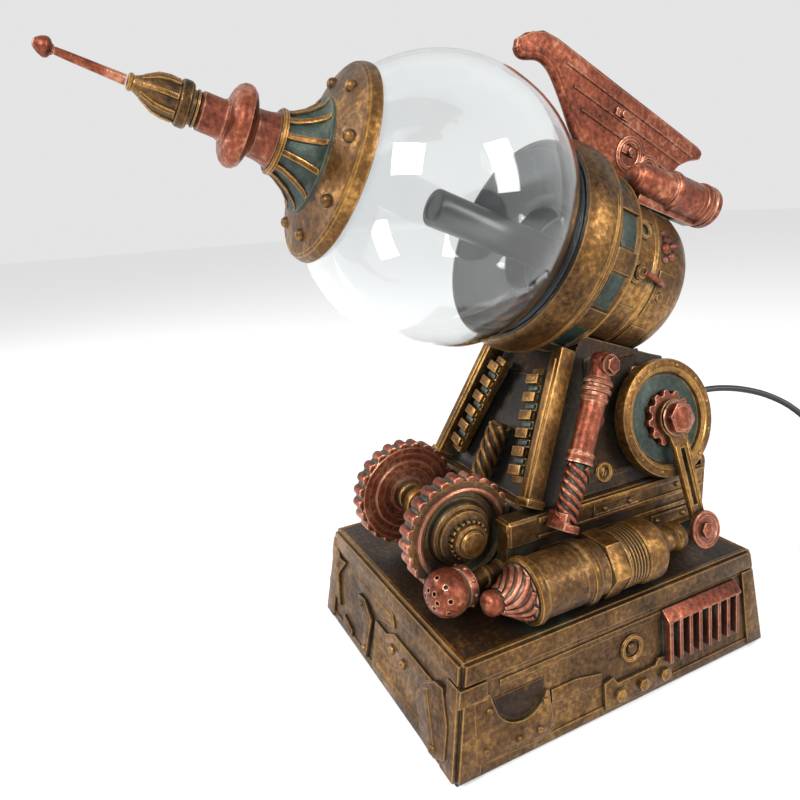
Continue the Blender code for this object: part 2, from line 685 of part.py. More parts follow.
# ---------------------------------------------------------------- flywheel, crank and steam cylinder
def flywheel():
    disc = [
        (4.4, -3.6), (22.5, -3.6), (24, -0.8), (FLY_RADIUS - 1, 0), (FLY_RADIUS, -1.2), (FLY_RADIUS, -FLY_THICK + 1),
        (FLY_RADIUS - 1, -FLY_THICK), (4.4, -FLY_THICK),
    ]
    finish(turned("flywheel_disc", disc, SIDE, 24, closed=True), "gold")
    gear = plate("flywheel_gear", gear_outline(12.0, 14.5, 12), -3.3, 0.4, SIDE, [circle_outline(4.4, 16)])
    finish(gear, "copper")
    hub = plate("flywheel_hub", circle_outline(8.4, 6, math.radians(15)), 4.4, 9.6, SIDE)
    bevel(hub, 0.8)
    join(hub, bore("add_flywheel_shaft", 4.0, -FLY_THICK, 6.0, SIDE, 16))
    finish(hub, "copper")
    boss = [(0, -FLY_THICK - GAP), (9, -FLY_THICK - GAP), (10.5, -8.9), (0, -8.9)]
    finish(turned("flywheel_bearing", boss, SIDE, 16), "dark_bronze")


def crank_point(raise_by):
    """Crank pin in world millimetres, at a height above the flywheel's face."""
    return FLY_CENTRE + SIDE_TURN @ Vector((CRANK_DROP, CRANK_BACK, raise_by))


def crank():
    angle = math.atan2(CRANK_BACK, CRANK_DROP)
    length = math.hypot(CRANK_BACK, CRANK_DROP)
    frame = SIDE @ Matrix.Rotation(angle, 4, "Z")
    arm = plate("crank_arm", [(6, -5.6), (length, -3.6), (length, 3.6), (6, 5.6)], 0.9, 3.9, frame)
    join(arm, bore("add_crank_eye", 9.6, 0.9, 3.9, frame, 16))
    join(arm, bore("add_crank_end", 5.4, 0.9, 3.9, frame @ place((length, 0, 0)), 16))
    cut(arm, bore("cut_crank_eye", 4.4, -5, 12, frame, 16))
    cut(arm, box("cut_crank_slot", (14, -1.7, -5), (length - 12, 1.7, 12), frame, CUTTERS))
    finish(arm, "gold")
    washer = [(0, 8.2), (3.8, 8.2), (4.2, 6.8), (8.8, 6.8), (9.6, 5.8), (9.6, 4.2), (0, 4.2)]
    pin = turned("crank_pin", washer, frame @ place((length, 0, 0)), 16)
    pivot = add_object("crank_pivot", None, frame)
    pin.parent = pivot
    pin.matrix_parent_inverse = frame.inverted()
    return finish(pin, "copper")


def cylinder_frame():
    return place((CYL_X, 0, CYL_Z), ALONG_BACK)


def steam_cylinder():
    frame = cylinder_frame()
    turbine = [
        (0, -49.6), (13.2, -49.6), (12.8, -52), (9.0, -57), (5.2, -61.5), (5.7, -64), (5.5, -67), (3.2, -68.7),
        (0, -69.2),
    ]
    finish(turned("turbine_cap", turbine, frame, 14), "copper")
    barrel = [
        (6.6, -9.2), (13.4, -9.2), (13.4, -15.4), (15.3, -16.0), (15.3, -19.4), (14.6, -20.2), (14.2, -23.0),
        (14.2, -45.1), (15.2, -45.6), (15.2, -48.4), (14.0, -49.3), (0, -49.3),
    ]
    barrel = [(0, -41.0), (6.6, -41.0)] + barrel
    finish(turned("cylinder_barrel", barrel, frame, 18), "bronze")
    nut = plate("gland_nut", circle_outline(16.0, 6), -8.9, 0.4, frame, [circle_outline(6.6, 20)])
    finish(bevel(nut, 0.6), "gold")
    gland = [
        (6.6, 12.4), (14.4, 12.4), (14.4, 10.4), (13.2, 10.1), (13.2, 8.9), (14.4, 8.6), (14.4, 6.4), (13.2, 6.1),
        (13.2, 4.9), (14.4, 4.6), (14.4, 0.7), (6.6, 0.7),
    ]
    finish(turned("packing_gland", gland, frame, 16, closed=True), "bronze")
    head = [
        (6.6, 31.5), (8.8, 31.5), (12.4, 27), (14.2, 24), (15.2, 23.0), (15.2, 13.4), (14.6, 12.7), (6.6, 12.7),
    ]
    finish(turned("cylinder_head", head, frame, 18, closed=True), "gold")


def piston_rod():
    frame = cylinder_frame()
    profile = [(0, 46.0), (6.6, 46.0), (7.0, 45.2), (7.0, 41.6), (5.9, 41.2), (5.9, 16.0), (0, 16.0)]
    rod = turned("piston_rod", profile, frame, 16)
    pin = crank_point(2.4)
    tongue = box("add_rod_tongue", (53.2, 44.0, CYL_Z - 4.5), (57.4, pin.y + 5, CYL_Z + 4.5), None, CUTTERS)
    join(rod, tongue)
    return finish(rod, "gold")


PIPE_FOOT = Vector((39.6, PED_FRONT - 0.5, 71.0))
KNOB_CENTRE = Vector((45.6, -78.5, 73.0))


def feed_pipe():
    frame = aim(PIPE_FOOT, KNOB_CENTRE)
    middle = (KNOB_CENTRE - PIPE_FOOT).length
    pipe = [(0, middle - 11.6), (4.4, middle - 11.6), (4.4, 0.6), (0, 0.6)]
    finish(turned("feed_pipe", pipe, frame, 14), "gold")
    knob = [
        (0, 9.6), (3.6, 9.2), (7.4, 7.6), (10.0, 4.2), (10.8, 0), (10.2, -4), (8.6, -6.4), (9.2, -8.0), (8.4, -11.2),
        (0, -11.2),
    ]
    knob = [(radius, middle + height) for radius, height in knob]
    finish(turned("feed_knob", knob, frame, 14), "copper")


# ---------------------------------------------------------------- details on the base
def base_details():
    half_x = wall_inset(30.0)[0]
    tilt = math.atan2(BASE_FOOT_HALF[0] - BASE_TOP_HALF[0], BASE_TOP - BASE_BOTTOM)
    wall = place((half_x, 0, 30.0), Matrix.Rotation(math.pi / 2 - tilt, 3, "Y"))
    fins = 8
    pitch = 6.6
    outline = []
    for fin in range(fins):
        start = 24.0 + pitch * fin
        outline += [(start, 2.2), (start, 5.2), (start + 2.6, 5.2), (start + 2.6, 2.2)]
    outline += [(outline[-1][0], GAP), (24.0, GAP)]
    finish(plate("cooling_grille", outline[::-1], -14.0, 8.0, wall @ ACROSS), "copper")


# ---------------------------------------------------------------- cord
def cord_parts():
    back = tower_back(CORD_EXIT.z)
    frame = place((CORD_EXIT.x, 0, CORD_EXIT.z), ALONG_BACK)
    bore_radius = CORD_RADIUS + 0.3
    gland = [
        (bore_radius, CORD_EXIT.y - GAP), (2.9, CORD_EXIT.y - GAP), (3.4, CORD_EXIT.y - 8), (4.6, back + 6),
        (6.8, back + 5), (6.8, back + 2.2), (5.0, back + 2.2), (5.0, back - 9), (bore_radius, back - 9),
    ]
    finish(turned("cord_gland", gland, frame, 14, closed=True), "black_rubber")
    route = cord_route()
    finish(tube("power_cord", smooth_points(route, 2), CORD_RADIUS), "black_rubber")
    inner = COIL_MEAN_RADIUS - COIL_WIDTH / 2
    outer = COIL_MEAN_RADIUS + COIL_WIDTH / 2
    low, high = 0.2, 0.2 + COIL_HEIGHT
    ring = [
        (inner + 1, high), (outer - 1, high), (outer, high - 1), (outer, low + 1), (outer - 1, low),
        (inner + 1, low), (inner, low + 1), (inner, high - 1),
    ]
    finish(turned("cord_coil", ring, place(COIL_CENTRE), 24, closed=True), "black_rubber")


def cord_route():
    """From the gland out and over towards +X, down to the table and tangent to the coil's outer turn."""
    return [
        CORD_EXIT, (16.3, 100, 124.7), (18, 109, 125.6), (21.5, 119, 125.8), (27, 130, 124.4), (34.5, 141, 120.8),
        (43, 151, 114.0), (51, 160, 103.0), (58, 168, 88.0), (63.5, 175, 70.0), (67.5, 181.5, 51.0), (71, 188, 33),
        (74.5, 196, 17), (78, 205, 7.0), (80.6, 214, 2.8), (81.15, 222, 2.1),
    ]


def cord_plug():
    """Round connector lying on the coil, pointing to +Y."""
    height = 0.2 + COIL_HEIGHT + GAP + PLUG_RADIUS
    frame = place((COIL_CENTRE.x + COIL_MEAN_RADIUS, COIL_CENTRE.y - 3, height), ALONG_BACK)
    profile = [
        (0, 33.5), (2.75, 33.5), (2.75, 24.4), (4.2, 24.0), (PLUG_RADIUS, 23.0), (PLUG_RADIUS, 8.0), (3.6, 6.6),
        (2.6, 0), (0, 0),
    ]
    return finish(turned("cord_plug", profile, frame, 14), "black_plastic")


def main():
    global PARTS, CUTTERS
    clear_scene()
    PARTS = make_collection("steampunk_plasma_lamp")
    CUTTERS = make_collection("cutters")
    felt_pad()
    base_shell()
    base_cover()
    electronics()
    power_switch()
    hv_lead()
    pedestal()
    tower_body()
    beams()
    racks()
    centre_spring()
    shocks()
    drum_body()
    rim_and_seal()
    glass_globe()
    electrode_parts()
    nozzle()
    tail_fin()
    scope()
    gear_pair()
    axle_bearing()
    flywheel()
    crank()
    steam_cylinder()
    piston_rod()
    feed_pipe()
    base_details()
    cord_parts()
    cord_plug()


main()
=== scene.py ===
"""Looks of the steampunk ray-gun plasma lamp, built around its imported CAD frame.

Lengths in this file are millimetres in the lamp's own frame unless a name says otherwise; MM turns them to metres.
"""

import math

import bpy
from mathutils import Matrix, Vector


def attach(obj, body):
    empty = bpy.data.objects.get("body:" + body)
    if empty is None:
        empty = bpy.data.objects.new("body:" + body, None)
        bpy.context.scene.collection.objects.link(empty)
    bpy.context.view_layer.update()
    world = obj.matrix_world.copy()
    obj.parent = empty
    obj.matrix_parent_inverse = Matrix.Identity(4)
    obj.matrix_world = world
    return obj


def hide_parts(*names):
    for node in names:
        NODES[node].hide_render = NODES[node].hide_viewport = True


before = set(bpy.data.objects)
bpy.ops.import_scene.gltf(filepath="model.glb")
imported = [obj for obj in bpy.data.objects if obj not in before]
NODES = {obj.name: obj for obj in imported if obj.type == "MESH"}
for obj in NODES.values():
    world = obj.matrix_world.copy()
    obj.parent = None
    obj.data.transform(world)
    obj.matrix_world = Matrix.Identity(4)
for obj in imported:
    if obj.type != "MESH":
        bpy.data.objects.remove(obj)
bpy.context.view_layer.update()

MM = 0.001
TURN = 2 * math.pi
TWIST_STEPS = 40

# Gun, flywheel and cylinder frames, as in the part
GLOBE_CENTRE = Vector((0.0, -50.0, 234.9))
GLOBE_RADIUS = 63.5
GLASS_WALL = 1.6
NECK_RADIUS = 22.0
NECK_END = -74.0
GUN_TILT = math.radians(22.3)
LEAN = math.radians(14.5)
FLY_CENTRE = Vector((45.0, 53.2, 127.1))
CRANK_DROP = 58.0
CRANK_BACK = 6.5
GEAR_AXIS = (-61.6, 89.8)
GEAR_PLACE_X = 27.0
CYL_AXIS = (60.0, 71.1)


# ---------------------------------------------------------------- frames
def place(origin, turn=None):
    matrix = Matrix.Translation(Vector(origin) * MM)
    return matrix if turn is None else matrix @ turn.to_4x4()


def move(x, y, z):
    return Matrix.Translation(Vector((x, y, z)) * MM)


def about(axis, angle):
    return Matrix.Rotation(angle, 4, axis)


GUN_TURN = Matrix.Rotation(math.pi / 2 - GUN_TILT, 3, "X")
GUN = place(GLOBE_CENTRE, GUN_TURN)
SIDE = place(FLY_CENTRE, Matrix.Rotation(math.pi / 2 - LEAN, 3, "Y"))
ALONG_BACK = Matrix.Rotation(-math.pi / 2, 3, "X")
CYLINDER = place((CYL_AXIS[0], 0, CYL_AXIS[1]), ALONG_BACK)
ORIGIN = Matrix.Identity(4)
# Local X up, Y along and Z across
ACROSS = Matrix(((0, 0, 1, 0), (1, 0, 0, 0), (0, 1, 0, 0), (0, 0, 0, 1)))


def aim(start, end):
    """Frame at start whose Z runs to end and whose X stays close to the lamp's own."""
    z_axis = (Vector(end) - Vector(start)).normalized()
    y_axis = z_axis.cross(Vector((1.0, 0.0, 0.0))).normalized()
    x_axis = y_axis.cross(z_axis)
    return place(start, Matrix((x_axis, y_axis, z_axis)).transposed())


def gun_point(side, up, along):
    return GLOBE_CENTRE + GUN_TURN @ Vector((side, up, along))


def smooth_points(points, per_span):
    """Catmull-Rom curve through points."""
    points = [Vector(p) for p in points]
    ends = [2 * points[0] - points[1]] + points + [2 * points[-1] - points[-2]]
    result = []
    for i in range(1, len(ends) - 2):
        before, start, end, after = ends[i - 1 : i + 3]
        for step in range(per_span):
            t = step / per_span
            slope = (end - before) * t
            square = (2 * before - 5 * start + 4 * end - after) * t * t
            cube = (3 * start - before - 3 * end + after) * t ** 3
            result.append(start + 0.5 * (slope + square + cube))
    result.append(points[-1])
    return result


# ---------------------------------------------------------------- materials
def linear(hex_colour):
    """sRGB hex to linear RGBA."""
    values = [int(hex_colour[i : i + 2], 16) / 255 for i in (1, 3, 5)]
    return (*[v / 12.92 if v <= 0.04045 else ((v + 0.055) / 1.055) ** 2.4 for v in values], 1.0)


def add(tree, kind, settings=None, **links):
    """Add a node, set its properties and sockets, and link what is given as a socket."""
    node = tree.nodes.new(kind)
    for name, value in (settings or {}).items():
        setattr(node, name, value)
    for name, value in links.items():
        key = int(name[1:]) if name[0] == "_" and name[1:].isdigit() else name.replace("_", " ")
        socket = node.inputs[key]
        if isinstance(value, bpy.types.NodeSocket):
            tree.links.new(value, socket)
        else:
            socket.default_value = value
    return node


def new_material(name):
    material = bpy.data.materials.new(name)
    material.use_nodes = True
    tree = material.node_tree
    return material, tree, tree.nodes["Principled BSDF"]


def antique(name, high, body, recess, tint, metallic=0.72, rough=(0.30, 0.50), pit=0.3, wash_and_shade_depth=1.0, worn=0.9):
    """Cast resin in metallic paint: dry-brushed metal on the high edges; ambient occlusion darkens hollows and places
    close to other parts towards a dark brown, partly the paint washed into the hollows and partly painted shade.
    """
    material, tree, shader = new_material(name)
    spot = add(tree, "ShaderNodeTexCoord").outputs["Object"]
    # Cloudy tone 25 mm across, brush specks 2 mm across, casting pits under 1 mm
    cloud = add(tree, "ShaderNodeTexNoise", Vector=spot, Scale=38.0, Detail=5.0, Roughness=0.62).outputs["Fac"]
    speck = add(tree, "ShaderNodeTexNoise", Vector=spot, Scale=430.0, Detail=4.0, Roughness=0.6).outputs["Fac"]
    pits = add(tree, "ShaderNodeTexNoise", Vector=spot, Scale=1300.0, Detail=3.0).outputs["Fac"]
    near = add(tree, "ShaderNodeAmbientOcclusion", {"samples": 6}, Distance=0.009).outputs["AO"]
    wide = add(tree, "ShaderNodeBevel", {"samples": 4}, Radius=0.001).outputs["Normal"]
    flat = add(tree, "ShaderNodeNewGeometry").outputs["Normal"]
    agree = add(tree, "ShaderNodeVectorMath", {"operation": "DOT_PRODUCT"}, _0=wide, _1=flat).outputs["Value"]
    edge = add(
        tree, "ShaderNodeMapRange", Value=agree, From_Min=0.995, From_Max=0.88, To_Min=0.0, To_Max=worn
    ).outputs["Result"]
    open_edge = add(tree, "ShaderNodeMath", {"operation": "MULTIPLY"}, _0=edge, _1=near).outputs["Value"]
    tone = add(
        tree, "ShaderNodeMapRange", Value=cloud, From_Min=0.35, From_Max=0.65, To_Min=0.16, To_Max=0.56
    ).outputs["Result"]
    brush = add(
        tree, "ShaderNodeMapRange", Value=speck, From_Min=0.3, From_Max=0.7, To_Min=-0.2, To_Max=0.2
    ).outputs["Result"]
    brushed = add(tree, "ShaderNodeMath", {"operation": "ADD"}, _0=tone, _1=brush).outputs["Value"]
    shine = add(
        tree, "ShaderNodeMath", {"operation": "ADD", "use_clamp": True}, _0=brushed, _1=open_edge
    ).outputs["Value"]
    ramp = add(tree, "ShaderNodeValToRGB", Fac=shine)
    ramp.color_ramp.elements.new(0.5)
    for stop, position, hex_colour in zip(ramp.color_ramp.elements, (0.0, 0.42, 1.0), (recess, body, high)):
        stop.position = position
        stop.color = linear(hex_colour)
    paint = ramp.outputs["Color"]
    # Painted shade: ambient occlusion within 9 mm, also from neighbouring parts, pulls the colour towards the dark
    # brown, which stands partly for real paint washed into the hollows
    hollow = add(
        tree, "ShaderNodeMapRange", Value=near, From_Min=0.88, From_Max=0.38, To_Min=0.0, To_Max=wash_and_shade_depth
    ).outputs["Result"]
    stain = add(
        tree, "ShaderNodeMapRange", Value=cloud, From_Min=0.47, From_Max=0.56, To_Min=0.0, To_Max=0.8
    ).outputs["Result"]
    patina_wash_and_shade = add(tree, "ShaderNodeMix", {"data_type": "RGBA"}, _0=stain, _6=linear(recess), _7=linear(tint)).outputs[2]
    colour = add(tree, "ShaderNodeMix", {"data_type": "RGBA"}, _0=hollow, _6=paint, _7=patina_wash_and_shade).outputs[2]
    tree.links.new(colour, shader.inputs["Base Color"])
    gloss = add(
        tree, "ShaderNodeMapRange", Value=shine, From_Min=0.1, From_Max=0.9, To_Min=rough[1], To_Max=rough[0]
    ).outputs["Result"]
    tree.links.new(gloss, shader.inputs["Roughness"])
    metal = add(
        tree, "ShaderNodeMapRange", Value=hollow, From_Min=0.0, From_Max=1.0, To_Min=metallic, To_Max=0.1
    ).outputs["Result"]
    tree.links.new(metal, shader.inputs["Metallic"])
    height = add(tree, "ShaderNodeMath", {"operation": "ADD"}, _0=speck, _1=pits).outputs["Value"]
    bump = add(tree, "ShaderNodeBump", Strength=pit, Distance=0.0005, Height=height).outputs["Normal"]
    tree.links.new(bump, shader.inputs["Normal"])
    return material


def plain(name, colour, roughness, metallic=0.0, grain=0.0, scale=900.0, coat=0.0, spread=0.12):
    """One-colour surface with a fine grain in tone and relief."""
    material, tree, shader = new_material(name)
    spot = add(tree, "ShaderNodeTexCoord").outputs["Object"]
    noise = add(tree, "ShaderNodeTexNoise", Vector=spot, Scale=scale, Detail=3.0).outputs["Fac"]
    shade = add(
        tree, "ShaderNodeMapRange", Value=noise, From_Min=0.3, From_Max=0.7, To_Min=1 - spread, To_Max=1 + spread
    ).outputs["Result"]
    colour_node = add(
        tree, "ShaderNodeMix", {"data_type": "RGBA", "blend_type": "MULTIPLY"}, _0=1.0, _6=linear(colour), _7=shade
    )
    tree.links.new(colour_node.outputs[2], shader.inputs["Base Color"])
    shader.inputs["Roughness"].default_value = roughness
    shader.inputs["Metallic"].default_value = metallic
    shader.inputs["Coat Weight"].default_value = coat
    bump = add(tree, "ShaderNodeBump", Strength=grain, Distance=0.0004, Height=noise).outputs["Normal"]
    tree.links.new(bump, shader.inputs["Normal"])
    return material


# Cast polyresin brushed with metallic acrylics: hollows and places near other parts darkened, partly brown paint washed
# into the hollows and partly painted shade; dry metal on the ridges
BRONZE = antique("bronze_painted_resin", "#b0854a", "#5d4020", "#160d06", "#1f2c25")
DARK_BRONZE = antique("dark_bronze_painted_resin", "#7f5a2f", "#332110", "#0d0804", "#15201b", worn=0.75)
GOLD = antique("antique_gold_painted_resin", "#cb9850", "#66451d", "#190d04", "#22352e", rough=(0.27, 0.46), pit=0.22)
COPPER = antique("copper_painted_resin", "#d39b7b", "#7e3f28", "#250b06", "#2a3f3a", rough=(0.27, 0.46), pit=0.24)
VERDIGRIS = antique("verdigris_painted_resin", "#6e6646", "#2b3a31", "#0b1411", "#1b3a33", metallic=0.35, worn=0.6)
# Near-black paint for the tower's front panel: painted shade of the deep gap between the beams
PAINTED_SHADE_BLACK = antique("painted_shade_black_resin", "#4a361e", "#150e07", "#070402", "#0d1512", metallic=0.4, worn=0.5)
# Carbon-loaded paint on the electrode: smooth, nearly black, with a soft gloss
COATING = plain("graphite_coating", "#171b1b", 0.34, grain=0.05, coat=0.15)
# The same paint over the globe's foot: a bluer black
LINING = plain("dark_globe_lining", "#14181c", 0.28, grain=0.05, coat=0.4)
# Moulded silicone rubber seal
SEAL = plain("silicone_rubber", "#1b2126", 0.38, grain=0.05)
# PVC cable sheath: satin black
SHEATH = plain("pvc_sheath", "#141414", 0.42, grain=0.08)
# Injection-moulded ABS with a spark-eroded texture
ABS = plain("textured_abs", "#171717", 0.5, grain=0.35, scale=2500.0)
# Needled polyester felt: dull, fuzzy
FELT = plain("needled_felt", "#202124", 0.95, grain=1.0, scale=1800.0, spread=0.35)
# Nickel-plated brass barrel
NICKEL = plain("nickel_plated_brass", "#c9c7c0", 0.22, metallic=1.0, grain=0.02)
# Green solder mask over glass-fibre board
MASK = plain("solder_mask", "#12603a", 0.35, grain=0.05)


def glass():
    """Blown soda-lime glass: clear and smooth, with a faint swirl in what it mirrors."""
    material, tree, shader = new_material("blown_glass")
    spot = add(tree, "ShaderNodeTexCoord").outputs["Object"]
    swirl = add(tree, "ShaderNodeTexNoise", Vector=spot, Scale=12.0, Detail=1.0).outputs["Fac"]
    bump = add(tree, "ShaderNodeBump", Strength=0.02, Distance=0.0005, Height=swirl).outputs["Normal"]
    tree.links.new(bump, shader.inputs["Normal"])
    shader.inputs["Base Color"].default_value = linear("#fbfdfd")
    shader.inputs["Roughness"].default_value = 0.01
    shader.inputs["IOR"].default_value = 1.5
    shader.inputs["Transmission Weight"].default_value = 1.0
    return material


GLASS = glass()


# ---------------------------------------------------------------- modelling helpers
def clear_selection():
    bpy.ops.object.select_all(action="DESELECT")


def pick(obj):
    clear_selection()
    obj.select_set(True)
    bpy.context.view_layer.objects.active = obj


def edit(obj):
    pick(obj)
    bpy.ops.object.mode_set(mode="EDIT")
    bpy.ops.mesh.select_all(action="SELECT")


def leave_edit():
    bpy.ops.object.mode_set(mode="OBJECT")


def settle(obj, matrix):
    """Put the piece's place into its mesh, with its object at the origin."""
    obj.data.transform(matrix)
    if matrix.determinant() < 0:
        obj.data.flip_normals()
    obj.matrix_world = ORIGIN
    return obj


def spun(name, profile, matrix, steps=48, loop=False, smooth=32):
    """Trace a profile of (radius, height), by extruding a vertex, and spin it about local Z."""
    clear_selection()
    bpy.ops.mesh.primitive_plane_add(size=MM)
    obj = bpy.context.object
    obj.name = name
    bpy.ops.object.mode_set(mode="EDIT")
    bpy.ops.mesh.select_all(action="SELECT")
    bpy.ops.mesh.merge(type="CENTER")
    points = [Vector((radius, 0, height)) * MM for radius, height in profile]
    if loop:
        points.append(points[0])
    bpy.ops.transform.translate(value=points[0])
    for here, there in zip(points, points[1:]):
        bpy.ops.mesh.extrude_vertices_move(TRANSFORM_OT_translate={"value": there - here})
    bpy.ops.mesh.select_all(action="SELECT")
    bpy.ops.mesh.spin(steps=steps, angle=TURN, center=(0, 0, 0), axis=(0, 0, 1))
    bpy.ops.mesh.select_all(action="SELECT")
    bpy.ops.mesh.remove_doubles(threshold=0.00001)
    bpy.ops.mesh.normals_make_consistent(inside=False)
    leave_edit()
    bpy.ops.object.shade_smooth_by_angle(angle=math.radians(smooth))
    return settle(obj, matrix)


def soften(obj, width, angle=30):
    """Round the sharp edges."""
    pick(obj)
    modifier = obj.modifiers.new("Edges", "BEVEL")
    modifier.width = width * MM
    modifier.segments = 2
    modifier.limit_method = "ANGLE"
    modifier.angle_limit = math.radians(angle)
    bpy.ops.object.modifier_apply(modifier=modifier.name)
    return obj


def slab(name, outline, low, high, matrix, bevel=0.4, panel=None):
    """Flat piece: a filled circle whose corners go to the outline, extruded; panel=(margin, depth) sinks its top."""
    clear_selection()
    bpy.ops.mesh.primitive_circle_add(vertices=len(outline), radius=MM, fill_type="NGON")
    obj = bpy.context.object
    obj.name = name
    for vertex, (x, y) in zip(obj.data.vertices, outline):
        vertex.co = Vector((x, y, low)) * MM
    edit(obj)
    bpy.ops.mesh.extrude_region_move(TRANSFORM_OT_translate={"value": (0, 0, (high - low) * MM)})
    if panel:
        bpy.ops.mesh.inset(thickness=panel[0] * MM)
        bpy.ops.mesh.inset(thickness=0.3 * MM, depth=-panel[1] * MM)
    bpy.ops.mesh.select_all(action="SELECT")
    bpy.ops.mesh.normals_make_consistent(inside=False)
    leave_edit()
    if bevel:
        soften(obj, bevel)
    bpy.ops.object.shade_smooth_by_angle(angle=math.radians(30))
    return settle(obj, matrix)


def rectangle(x0, y0, x1, y1):
    return [(x0, y0), (x1, y0), (x1, y1), (x0, y1)]


def ring_outline(radius, count, start=0.0):
    return [
        (radius * math.cos(start + TURN * i / count), radius * math.sin(start + TURN * i / count))
        for i in range(count)
    ]


def round_points(radius_x, radius_y, degrees, x=0.0, y=0.0):
    """Points of an ellipse about (x, y) at each angle in degrees."""
    return [(x + radius_x * math.cos(math.radians(a)), y + radius_y * math.sin(math.radians(a))) for a in degrees]


def stud(name, radius, height, matrix, sides=16):
    """Domed rivet head."""
    profile = [
        (0, height), (radius * 0.45, height * 0.92), (radius * 0.8, height * 0.6), (radius, 0.0), (radius, -0.6),
        (0, -0.6),
    ]
    return spun(name, profile, matrix, sides, smooth=50)


def hex_bolt(name, radius, height):
    """Six-sided head with a rounded crown, at the origin."""
    return slab(name, ring_outline(radius, 6), -0.5, height, ORIGIN, bevel=0.12 * radius)


def copies(obj, matrices, name=None):
    """Copy a piece modelled at the origin to each matrix and join the copies into one piece."""
    made = []
    for matrix in matrices:
        copy = obj.copy()
        copy.data = obj.data.copy()
        bpy.context.scene.collection.objects.link(copy)
        settle(copy, matrix)
        made.append(copy)
    bpy.data.objects.remove(obj, do_unlink=True)
    return joined(made, name)


def joined(pieces, name=None):
    clear_selection()
    for piece in pieces:
        piece.select_set(True)
    bpy.context.view_layer.objects.active = pieces[0]
    if len(pieces) > 1:
        bpy.ops.object.join()
    whole = bpy.context.view_layer.objects.active
    if name:
        whole.name = name
    return whole


def wire(name, points, radius, matrix=ORIGIN, sides=3):
    """Round wire along points, made a mesh."""
    curve = bpy.data.curves.new(name, "CURVE")
    curve.dimensions = "3D"
    curve.bevel_depth = radius * MM
    curve.bevel_resolution = sides
    curve.use_fill_caps = True
    curve.resolution_u = 1
    spline = curve.splines.new("POLY")
    spline.points.add(len(points) - 1)
    for target, point in zip(spline.points, points):
        target.co = (*(Vector(point) * MM), 1.0)
    obj = bpy.data.objects.new(name, curve)
    bpy.context.scene.collection.objects.link(obj)
    pick(obj)
    bpy.ops.object.convert(target="MESH")
    edit(obj)
    bpy.ops.mesh.remove_doubles(threshold=0.000001)
    bpy.ops.mesh.normals_make_consistent(inside=False)
    leave_edit()
    bpy.ops.object.shade_smooth_by_angle(angle=math.radians(50))
    return settle(obj, matrix)


def dress(obj, material, body="stand", replaces=()):
    """Give a finished piece its material, the body it rides on and the CAD nodes it stands for."""
    obj.data.materials.clear()
    obj.data.materials.append(material)
    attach(obj, body)
    if replaces:
        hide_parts(*replaces)
    return obj


def repaint(material, *names):
    """A new material on CAD nodes that stay as they are."""
    for name in names:
        obj = NODES[name]
        obj.data.materials.clear()
        obj.data.materials.append(material)


# ---------------------------------------------------------------- camera, light and floor
# Metres and radians; the lens is for a 36 mm sensor
CAMERA_SPOT = Vector((0.266701, -0.200426, 0.235937))
CAMERA_TARGET = Vector((0, -0.073603, 0.149592))
CAMERA_ROLL = -0.065
LENS = 29.505


def camera():
    data = bpy.data.cameras.new("camera")
    data.sensor_width = 36.0
    data.lens = LENS
    obj = bpy.data.objects.new("camera", data)
    bpy.context.scene.collection.objects.link(obj)
    ahead = (CAMERA_TARGET - CAMERA_SPOT).normalized()
    right = ahead.cross(Vector((0, 0, 1))).normalized()
    up = right.cross(ahead)
    x_axis = math.cos(CAMERA_ROLL) * right + math.sin(CAMERA_ROLL) * up
    y_axis = -math.sin(CAMERA_ROLL) * right + math.cos(CAMERA_ROLL) * up
    turn = Matrix((x_axis, y_axis, -ahead)).transposed()
    obj.matrix_world = Matrix.Translation(CAMERA_SPOT) @ turn.to_4x4()
    bpy.context.scene.camera = obj


def softbox(name, spot, target, size, power):
    data = bpy.data.lights.new(name, "AREA")
    data.shape = "RECTANGLE"
    data.size, data.size_y = size
    data.energy = power
    obj = bpy.data.objects.new(name, data)
    bpy.context.scene.collection.objects.link(obj)
    ahead = Vector(target) - Vector(spot)
    obj.matrix_world = Matrix.Translation(spot) @ ahead.to_track_quat("-Z", "Y").to_matrix().to_4x4()


def studio():
    """White paper floor, an even white surround and three soft boxes."""
    clear_selection()
    bpy.ops.mesh.primitive_plane_add(size=12.0)
    floor = bpy.context.object
    floor.name = "floor"
    material, tree, shader = new_material("white_paper")
    shader.inputs["Base Color"].default_value = linear("#f7f7f7")
    shader.inputs["Roughness"].default_value = 0.9
    floor.data.materials.append(material)
    world = bpy.data.worlds.new("studio")
    world.use_nodes = True
    background = world.node_tree.nodes["Background"]
    background.inputs["Color"].default_value = (1, 1, 1, 1)
    background.inputs["Strength"].default_value = 0.78
    bpy.context.scene.world = world
    softbox("key", (0.75, -0.95, 1.05), (0, -0.02, 0.15), (0.55, 0.55), 17.0)
    softbox("left", (-0.55, -0.95, 0.75), (0, -0.02, 0.18), (0.35, 0.8), 9.0)
    softbox("right", (1.0, 0.45, 0.7), (0, 0.0, 0.15), (0.4, 0.7), 9.0)
    bpy.context.scene.view_settings.view_transform = "Standard"


camera()
studio()


# ---------------------------------------------------------------- more modelling helpers
def arc(radius, top, bottom, count):
    """Profile points on a sphere about the origin between two heights."""
    first, last = math.acos(top / radius), math.acos(bottom / radius)
    angles = [first + (last - first) * i / count for i in range(count + 1)]
    return [(radius * math.sin(a), radius * math.cos(a)) for a in angles]


